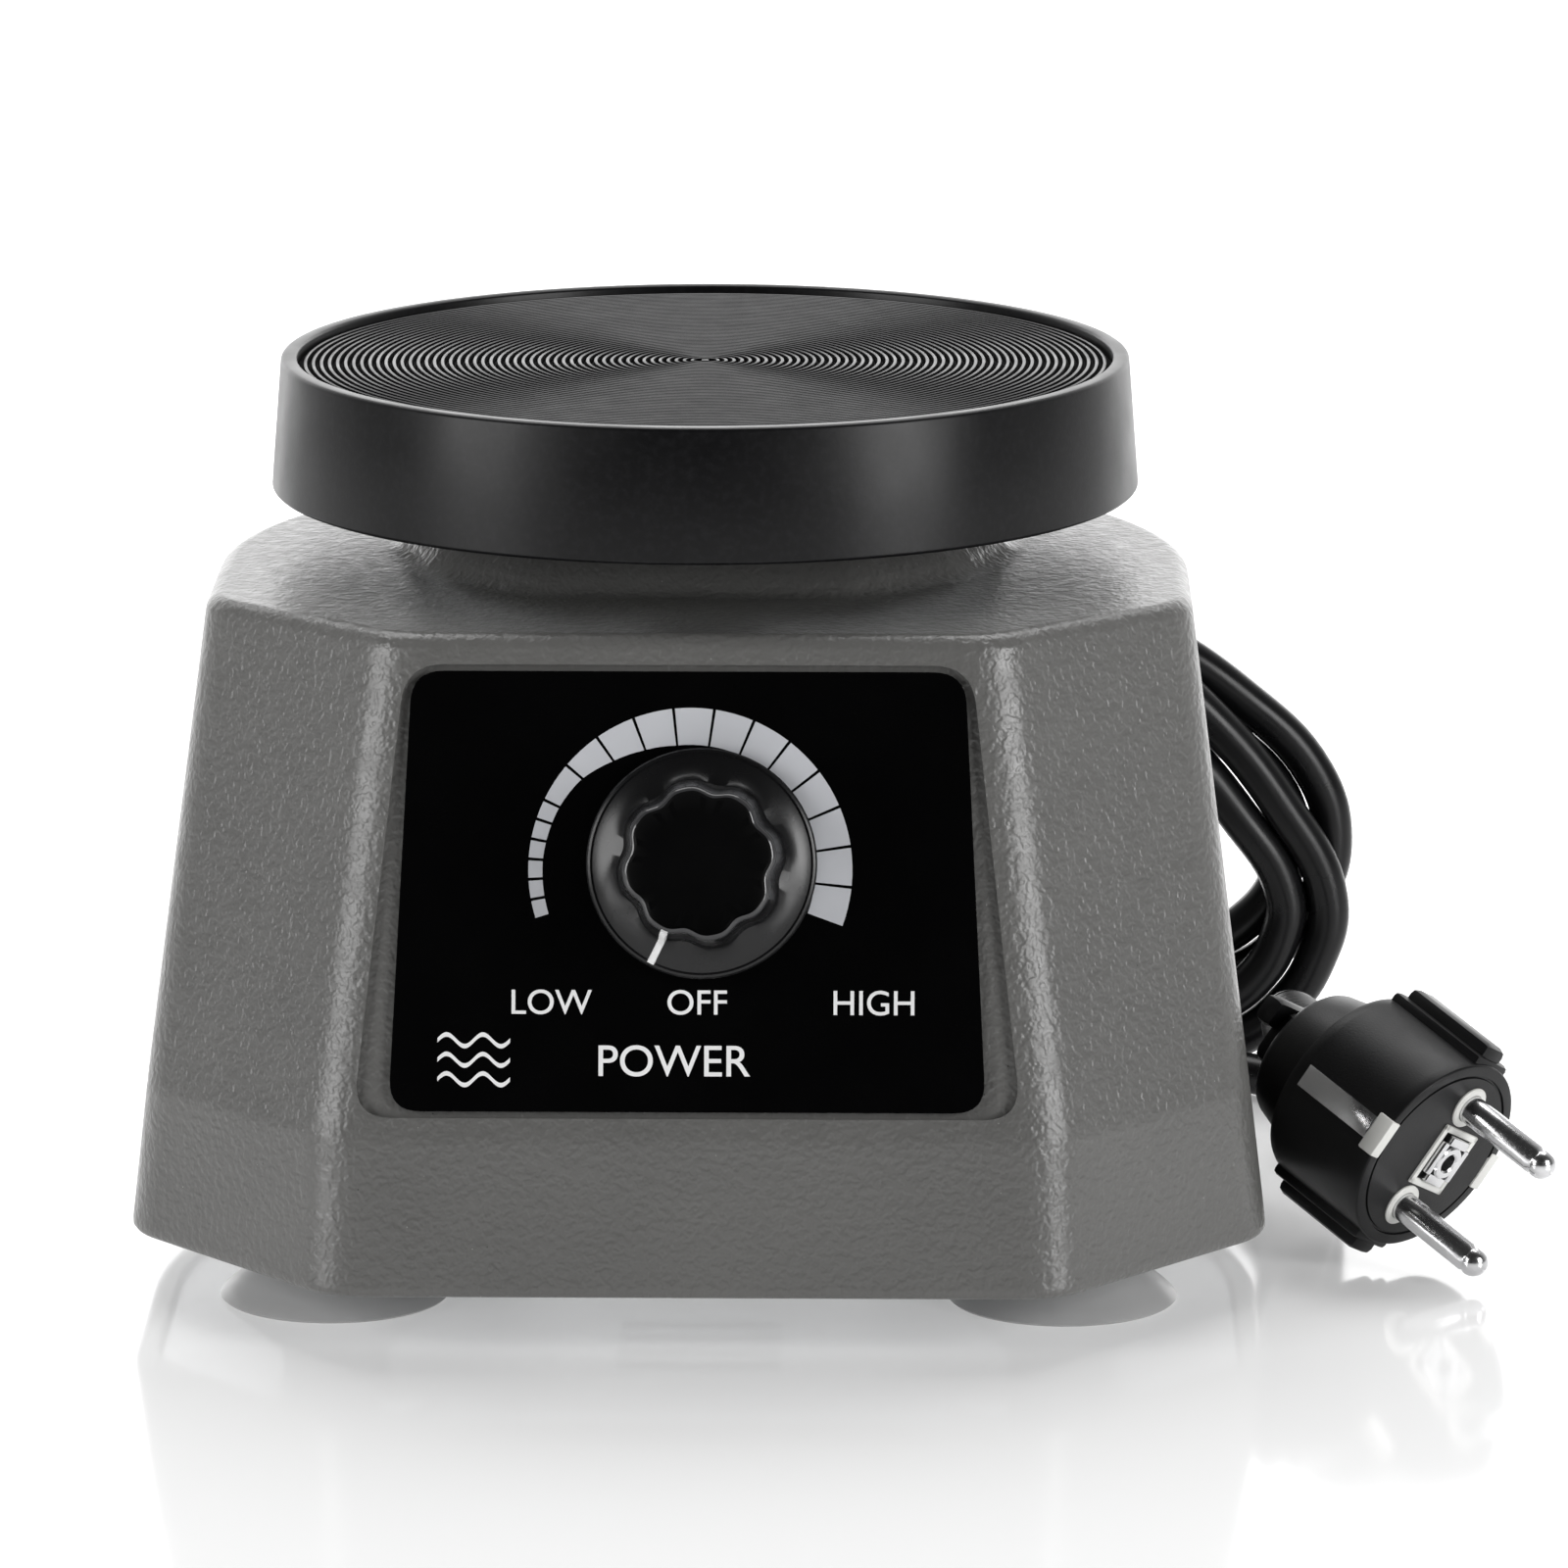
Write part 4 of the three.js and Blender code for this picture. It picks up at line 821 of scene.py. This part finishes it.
def make_seal():
    """The rubber lip round the stem's hole, which stays on the housing."""
    bm = bmesh.new()
    profile = [[9.6, 117.3], [16.6, 117.3], [17, 117.7], [17, 118.6], [16.4, 119.4], [15.2, 120], [13, 120.3]]
    profile += [[10.2, 120.3], [9.6, 119.9]]
    add_turned(bm, profile, 64, wrap=True)
    settle(finish_mesh("lip_seal", bm, [RUBBER]), "base", "black_rubber", "stem_seal")


# ---- control panel and knob ----

def make_panel():
    bm = bmesh.new()
    capped(bm, [trapezium(0, 0, -0.9), trapezium(0, 0, PANEL_FACE - 0.12), trapezium(-0.12, 0, PANEL_FACE)])
    bmesh.ops.transform(bm, matrix=front_frame, verts=bm.verts)
    settle(finish_mesh("panel_film", bm, [FILM], 30), "base", "panel", "front_panel")


PRINT_LEVELS = (PANEL_FACE - 0.05, PANEL_FACE + 0.06)


def add_print(bm, outline):
    """A thin printed patch on the panel, from its outline in the front frame."""
    capped(bm, [[front_frame @ Vector((p.x, p.y, z)) for p in outline] for z in PRINT_LEVELS])


def make_scale():
    """The printed band round the knob: thin, short steps at first, then wide ones."""
    centre = Vector((-0.4, -1.0))
    outer, gap = 25, 0.42
    start, change, end = 198, 154.6, -20.6  # degrees; the steps grow wide after the change
    small_count, wide_count = 6, 12
    small, wide = (start - change) / small_count, (change - end) / wide_count
    edges = [start - small * at for at in range(small_count)]
    edges += [change - wide * at for at in range(wide_count + 1)]
    thickness = [(start, 2.1), (176, 2.2), (change, 2.6), (141, 3.1), (126, 4.4), (112, 5.2)]
    thickness += [(97, 5.7), (-21, 5.7)]

    def depth(angle):
        for (a, low), (b, high) in zip(thickness, thickness[1:]):
            if b <= angle <= a:
                return low + (high - low) * (a - angle) / (a - b)
        return thickness[0][1] if angle > thickness[0][0] else thickness[-1][1]

    margin = math.degrees(gap / 2 / (outer - 3))
    bm = bmesh.new()
    for first, last in zip(edges, edges[1:]):
        inner_ring, outer_ring = [], []
        for at in range(5):
            angle = first - margin - (first - last - 2 * margin) * at / 4
            way = Vector((math.cos(math.radians(angle)), math.sin(math.radians(angle))))
            inner_ring.append(centre + way * (outer - depth(angle)))
            outer_ring.append(centre + way * outer)
        add_print(bm, inner_ring + outer_ring[::-1])
    settle(finish_mesh("printed_scale", bm, [SCALE_PRINT], 30), "base", "panel")


CAPITAL_HEIGHT = 0.73  # a capital's height in the letters' size


def make_word(name, text, x, y, height):
    """A printed dial word, as thin flat letters on the panel."""
    curve = bpy.data.curves.new(name, "FONT")
    curve.body = text
    curve.align_x = "CENTER"
    curve.size = height * MM / CAPITAL_HEIGHT
    curve.extrude = 0.03 * MM
    curve.offset = 0.02 * MM
    source = bpy.data.objects.new(name, curve)
    scene.collection.objects.link(source)
    graph = bpy.context.evaluated_depsgraph_get()
    graph.update()
    mesh = bpy.data.meshes.new_from_object(source.evaluated_get(graph))
    bpy.data.objects.remove(source)
    metre_frame = Matrix.Translation(front_frame.translation * MM) @ front_frame.to_3x3().to_4x4()
    mesh.transform(metre_frame @ Matrix.Translation(Vector((x, y - height / 2, PANEL_FACE + 0.03)) * MM))
    mesh.materials.clear()
    mesh.materials.append(PRINT)
    word = bpy.data.objects.new(name, mesh)
    scene.collection.objects.link(word)
    settle(word, "base", "panel")


def make_words():
    row_y, letter_height = -21.3, 3.95
    for word, x in (("LOW", -21.9), ("OFF", 0.7), ("HIGH", 28.0)):
        make_word(f"word_{word.lower()}", word, x, row_y, letter_height)
    make_word("word_power", "POWER", -3, -30.3, 5.0)


def make_waves():
    """A generic sign for vibration: three stacked waves."""
    middle_x, top_y, row_pitch = -33.7, -27.4, 3
    wave_length, wave_height, half_line, steps = 5.6, 0.9, 0.35, 40
    bm = bmesh.new()
    for row in range(3):
        y = top_y - row * row_pitch
        upper, lower = [], []
        for at in range(steps + 1):
            x = -wave_length + 2 * wave_length * at / steps
            rise = wave_height * math.sin(2 * math.pi * x / wave_length)
            upper.append(Vector((middle_x + x, y + rise + half_line)))
            lower.append(Vector((middle_x + x, y + rise - half_line)))
        add_print(bm, lower + upper[::-1])
    settle(finish_mesh("printed_waves", bm, [PRINT], 30), "base", "panel")


KNOB_LIFT, KNOB_HEIGHT = 0.8, 17.5
GRIP_FOOT = KNOB_LIFT + 4.2
POINTER_ANGLE = math.radians(-117)


def fluted(radius, z, count):
    """One level of the knob's grip: eight shallow hollows round it."""
    flutes, dip, first_flute = 8, 1.0, math.radians(79)
    ring = []
    for at in range(count):
        a = 2 * math.pi * at / count
        near = 0.5 + 0.5 * math.cos(flutes * (a - first_flute))
        reach = radius - dip * near ** 1.8
        ring.append(knob_frame @ Vector((reach * math.cos(a), reach * math.sin(a), z)))
    return ring


def make_knob():
    """A dished skirt and a scalloped grip with a polished edge, whose lighter grey is a painted highlight,
    and a dull, sunken top.
    """
    skirt_r, grip_r, top_r, count = 17.8, 13.0, 11.4, 192
    skirt = [[0, 0], [skirt_r - 0.3, 0], [skirt_r, 0.3], [skirt_r, 1.2], [skirt_r - 0.25, 1.55]]
    skirt += [[skirt_r - 0.6, 1.7], [skirt_r - 0.95, 1.55], [15.6, 2.0], [14, 3.0]]
    rings = [circle(r, KNOB_LIFT + z, count, knob_frame) for r, z in skirt]
    grip_foot = fluted(grip_r, GRIP_FOOT + 0.1, count)
    grip_top = fluted(top_r + 0.55, KNOB_HEIGHT - 1, count)
    edge_top = fluted(top_r - 0.25, KNOB_HEIGHT, count)
    bm = bmesh.new()
    add_rings(bm, rings + [fluted(grip_r + 0.25, GRIP_FOOT - 0.35, count), grip_foot])
    add_rings(bm, [grip_foot, grip_top])
    edge = [fluted(top_r + 0.4, KNOB_HEIGHT - 0.55, count), fluted(top_r, KNOB_HEIGHT - 0.1, count)]
    # the edge ring takes the lighter grey painted highlight material
    add_rings(bm, [grip_top] + edge + [edge_top], material=2)
    top = [fluted(top_r - 0.7, KNOB_HEIGHT - 0.25, count), fluted(8, KNOB_HEIGHT - 0.28, count)]
    add_rings(bm, [edge_top] + top + [[knob_frame @ Vector((0, 0, KNOB_HEIGHT - 0.3))]], material=1)
    knob = finish_mesh("dial_knob", bm, [KNOB_BLACK, KNOB_TOP, KNOB_RIM_PAINTED_HIGHLIGHT], 30)
    settle(knob, "knob", "black_plastic", "knob")


def make_pointer():
    """The white line that runs over the skirt and up the grip's flank."""
    line = [[17.3, KNOB_LIFT + 1.75], [15.6, KNOB_LIFT + 2.1], [14, KNOB_LIFT + 3.1]]
    line += [[13.1, GRIP_FOOT + 0.1], [12.75, GRIP_FOOT + 4]]
    line += [[12.1, KNOB_HEIGHT - 1.2], [11.6, KNOB_HEIGHT - 0.3]]
    across = Vector((-math.sin(POINTER_ANGLE), math.cos(POINTER_ANGLE), 0))
    out = Vector((math.cos(POINTER_ANGLE), math.sin(POINTER_ANGLE), 0))
    on_flank, half_foot, half_top = 13.5, 0.6, 0.5
    rings = []
    for r, z in line:
        base = out * r + Vector((0, 0, z))
        up = Vector((0, 0, 0.3)) + out * (0.35 if r < on_flank else 0)
        low, high = base - up, base + up
        rings.append([knob_frame @ p for p in (
            low - across * half_foot, low + across * half_foot,
            high + across * half_top, high - across * half_top,
        )])
    bm = bmesh.new()
    capped(bm, rings)
    settle(finish_mesh("knob_pointer", bm, [PRINT]), "knob", "white_plastic")


# ---- feet, gland and small pieces ----

def make_cups():
    """Four suction cups: the hollow below, the thin lip, the bell, the neck and the screw's hole."""
    profile = [[0, 6.3], [5, 5.6], [10.5, 3.4], [14.5, 1.4], [17.2, 0.05], [17.9, 0]]
    profile += [[18.25, 0.35], [17.8, 1.0], [16.6, 2.1], [14.8, 3.5], [12.6, 5.2], [10.9, 6.8]]
    profile += [[9.6, 8.0], [8.8, 9.0], [8.5, 10.2], [8.5, 10.8], [8.2, 11.2]]
    profile += [[2.4, 11.2], [2.3, 10.9], [2.3, 7.7], [0, 7.6]]
    for at in range(1, 5):
        lo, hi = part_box(f"suction_cup_{at}")
        centre = Matrix.Translation(((lo.x + hi.x) / 2 / MM, (lo.y + hi.y) / 2 / MM, 0))
        bm = bmesh.new()
        add_turned(bm, profile, 96, centre)
        cup = finish_mesh(f"cup_foot_{at}", bm, [CUP], 50)
        settle(cup, "base", "grey_rubber", f"suction_cup_{at}")


def make_gland():
    """A hexagon with rounded corners and the ribbed strain relief that the lead comes out of."""
    place = Matrix.Translation((0, 0, GLAND_Z)) @ turn(-90, "X")
    foot, top = GLAND_BOSS_Y + 0.3, GLAND_BOSS_Y + 4.3
    half_flats, corner_r, bore_r, thread_r, thread_end, count = 9.53, 10.6, 6.2, 7.5, foot - 14, 72
    rings = []
    for z, grow in ((foot, -0.5), (foot + 0.4, 0), (top - 0.5, 0), (top, -0.9)):
        ring = []
        for at in range(count):
            a = 2 * math.pi * at / count
            side = (a % (math.pi / 3)) - math.pi / 6
            reach = min(half_flats / math.cos(side), corner_r) + grow
            ring.append(place @ Vector((reach * math.cos(a), reach * math.sin(a), z)))
        rings.append(ring)
    inner = [circle(bore_r, z, count, place) for z in (top, thread_end)]
    outer = [circle(thread_r, z, count, place) for z in (thread_end, foot)]
    bm = bmesh.new()
    add_rings(bm, rings + inner + outer, wrap=True)
    settle(finish_mesh("gland_hexagon", bm, [KNOB_BLACK], 30), "base", "black_plastic", "cable_gland")

    root, shoulder, tip = foot - 13.7, top + 0.3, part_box("cable_boot")[1].y / MM
    profile = [[0, root], [5.8, root], [5.8, shoulder], [7.3, shoulder], [7.6, shoulder + 0.4]]
    profile += [[7.6, shoulder + 2.6], [7.2, shoulder + 3]]
    ribs, first_rib_r, taper = 5, 7.1, 2.4
    pitch = (tip - shoulder - 4) / ribs
    for at in range(ribs):
        r = first_rib_r - taper * at / (ribs - 1)
        z = shoulder + 3.3 + at * pitch
        profile += [[r - 0.15, z], [r, z + 0.25], [r - 0.1, z + pitch * 0.62], [r - 0.9, z + pitch * 0.7]]
        profile += [[r - 0.9, z + pitch * 0.94]]
    profile += [[4.5, tip - 0.5], [4.3, tip], [3.6, tip], [3.6, tip - 6], [0, tip - 6]]
    bm = bmesh.new()
    add_turned(bm, profile, 48, place)
    settle(finish_mesh("strain_relief", bm, [RUBBER], 30), "base", "black_rubber", "cable_boot")


def make_springs():
    """Smooth coil springs with closed ends, which stretch between the base and the table."""
    wire, turns, count, sides = 0.9, 5.5, 220, 14
    for at in range(1, 5):
        lo, hi = (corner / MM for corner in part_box(f"table_spring_{at}"))
        middle = (lo + hi) / 2
        radius = (hi.x - lo.x) / 2 - wire
        rings = []
        for step in range(count + 1):
            share = step / count
            angle = 2 * math.pi * turns * share
            out = Vector((math.cos(angle), math.sin(angle), 0))
            rise = (hi.z - lo.z - 2 * wire) * smooth(share)
            centre = Vector((middle.x, middle.y, lo.z + wire + rise))
            ring = []
            for side in range(sides):
                around = 2 * math.pi * side / sides
                up = Vector((0, 0, wire * math.sin(around)))
                ring.append(centre + out * (radius + wire * math.cos(around)) + up)
            rings.append(ring)
        bm = bmesh.new()
        capped(bm, rings)
        spring = finish_mesh(f"spring_{at}", bm, [STEEL])
        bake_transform(spring)
        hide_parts(f"table_spring_{at}")


def paint_carried_nodes():
    """The CAD nodes that stay as they are get their real finish."""
    finishes = {
        STEEL: ["base_plate", "table_stem", "table_screw", "core_clamp_left", "core_clamp_right", "gland_nut",
                "potentiometer", "knob_set_screw"]
        + [f"{kind}_screw_{at}" for kind in ("base", "cup") for at in range(1, 5)],
        ALUMINIUM: ["table_plate", "spring_carrier", "board_pillar_left", "board_pillar_right"]
        + [f"spring_post_{at}" for at in range(1, 5)],
        PLATED: ["potentiometer_nut", "potentiometer_shaft"],
        laminated(): ["magnet_core", "armature"],
        wound_copper(): ["copper_winding"],
        COPPER: ["earth_screw"],
        WHITE: ["coil_bobbin", "terminal_block"],
        board_paint(): ["circuit_board"],
        plain("capacitor_case", (0.5, 0.36, 0.05)): ["capacitor"],
        KNOB_BLACK: ["triac"],
        plain("wire_red", (0.4, 0.02, 0.015)): ["control_wires"],
        SHEATH: ["inner_lead"],
    }
    for material, names in finishes.items():
        for name in names:
            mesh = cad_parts[name].data
            mesh.materials.clear()
            mesh.materials.append(material)


# ---- floor and light ----

def make_floor():
    paint = Paint("pale_floor")
    paint.color(paint.ramp(paint.noise(300), [(0.3, 0.86), (0.7, 0.88)]))
    paint.set(Roughness=0.09, Emission_Color=(1, 1, 1, 1), Emission_Strength=0.25)
    mesh = bpy.data.meshes.new("floor")
    reach = 6
    corners = [(-reach, -reach, 0), (reach, -reach, 0), (reach, reach, 0), (-reach, reach, 0)]
    mesh.from_pydata(corners, [], [(0, 1, 2, 3)])
    mesh.materials.append(paint.material)
    floor = bpy.data.objects.new("floor", mesh)
    scene.collection.objects.link(floor)


def area_light(name, place, target, size, power):
    """A soft box in metres and watts, turned to its target and hidden from the camera."""
    data = bpy.data.lights.new(name, "AREA")
    data.shape = "RECTANGLE"
    data.size, data.size_y = size
    data.energy = power
    light = bpy.data.objects.new(name, data)
    light.location = place
    light.rotation_euler = (Vector(target) - Vector(place)).to_track_quat("-Z", "Y").to_euler()
    light.visible_camera = False
    scene.collection.objects.link(light)


def make_light():
    area_light("left_box", (-1.2, -0.72, 0.45), (0, 0, 0.08), (0.6, 0.75), 10)
    area_light("right_box", (1.15, -0.85, 0.42), (0, 0, 0.08), (0.5, 0.75), 12)
    area_light("top_box", (0, 0.6, 1.4), (0, 0, 0), (1.5, 0.8), 14)
    area_light("back_glow", (0, 1.9, 0.45), (0, 0, 0.1), (3.2, 1.0), 18)
    make_world()
    scene.view_settings.view_transform = "Standard"


def make_world():
    """White where the camera looks and behind the object, dark in front, as in a studio cove."""
    world = bpy.data.worlds.new("studio")
    world.use_nodes = True
    tree = world.node_tree
    place = tree.nodes.new("ShaderNodeTexCoord")
    axes = tree.nodes.new("ShaderNodeSeparateXYZ")
    spread = tree.nodes.new("ShaderNodeMapRange")
    spread.interpolation_type = "SMOOTHSTEP"
    for name, value in (("From Min", -0.25), ("From Max", 0.75), ("To Min", 0.03), ("To Max", 0.7)):
        spread.inputs[name].default_value = value
    rays = tree.nodes.new("ShaderNodeLightPath")
    mix = tree.nodes.new("ShaderNodeMix")
    mix.inputs["B"].default_value = 1
    tree.links.new(place.outputs["Generated"], axes.inputs["Vector"])
    tree.links.new(axes.outputs["Y"], spread.inputs["Value"])
    tree.links.new(spread.outputs["Result"], mix.inputs["A"])
    tree.links.new(rays.outputs["Is Camera Ray"], mix.inputs["Factor"])
    tree.links.new(mix.outputs["Result"], tree.nodes["Background"].inputs["Strength"])
    tree.nodes["Background"].inputs["Color"].default_value = (1, 1, 1, 1)
    scene.world = world


make_camera()
lead = make_lead()
make_tie()
make_plug()
make_housing()
make_cover()
make_seal()
make_panel()
make_scale()
make_words()
make_waves()
make_knob()
make_pointer()
make_cups()
make_gland()
make_springs()
paint_carried_nodes()
make_floor()
make_light()
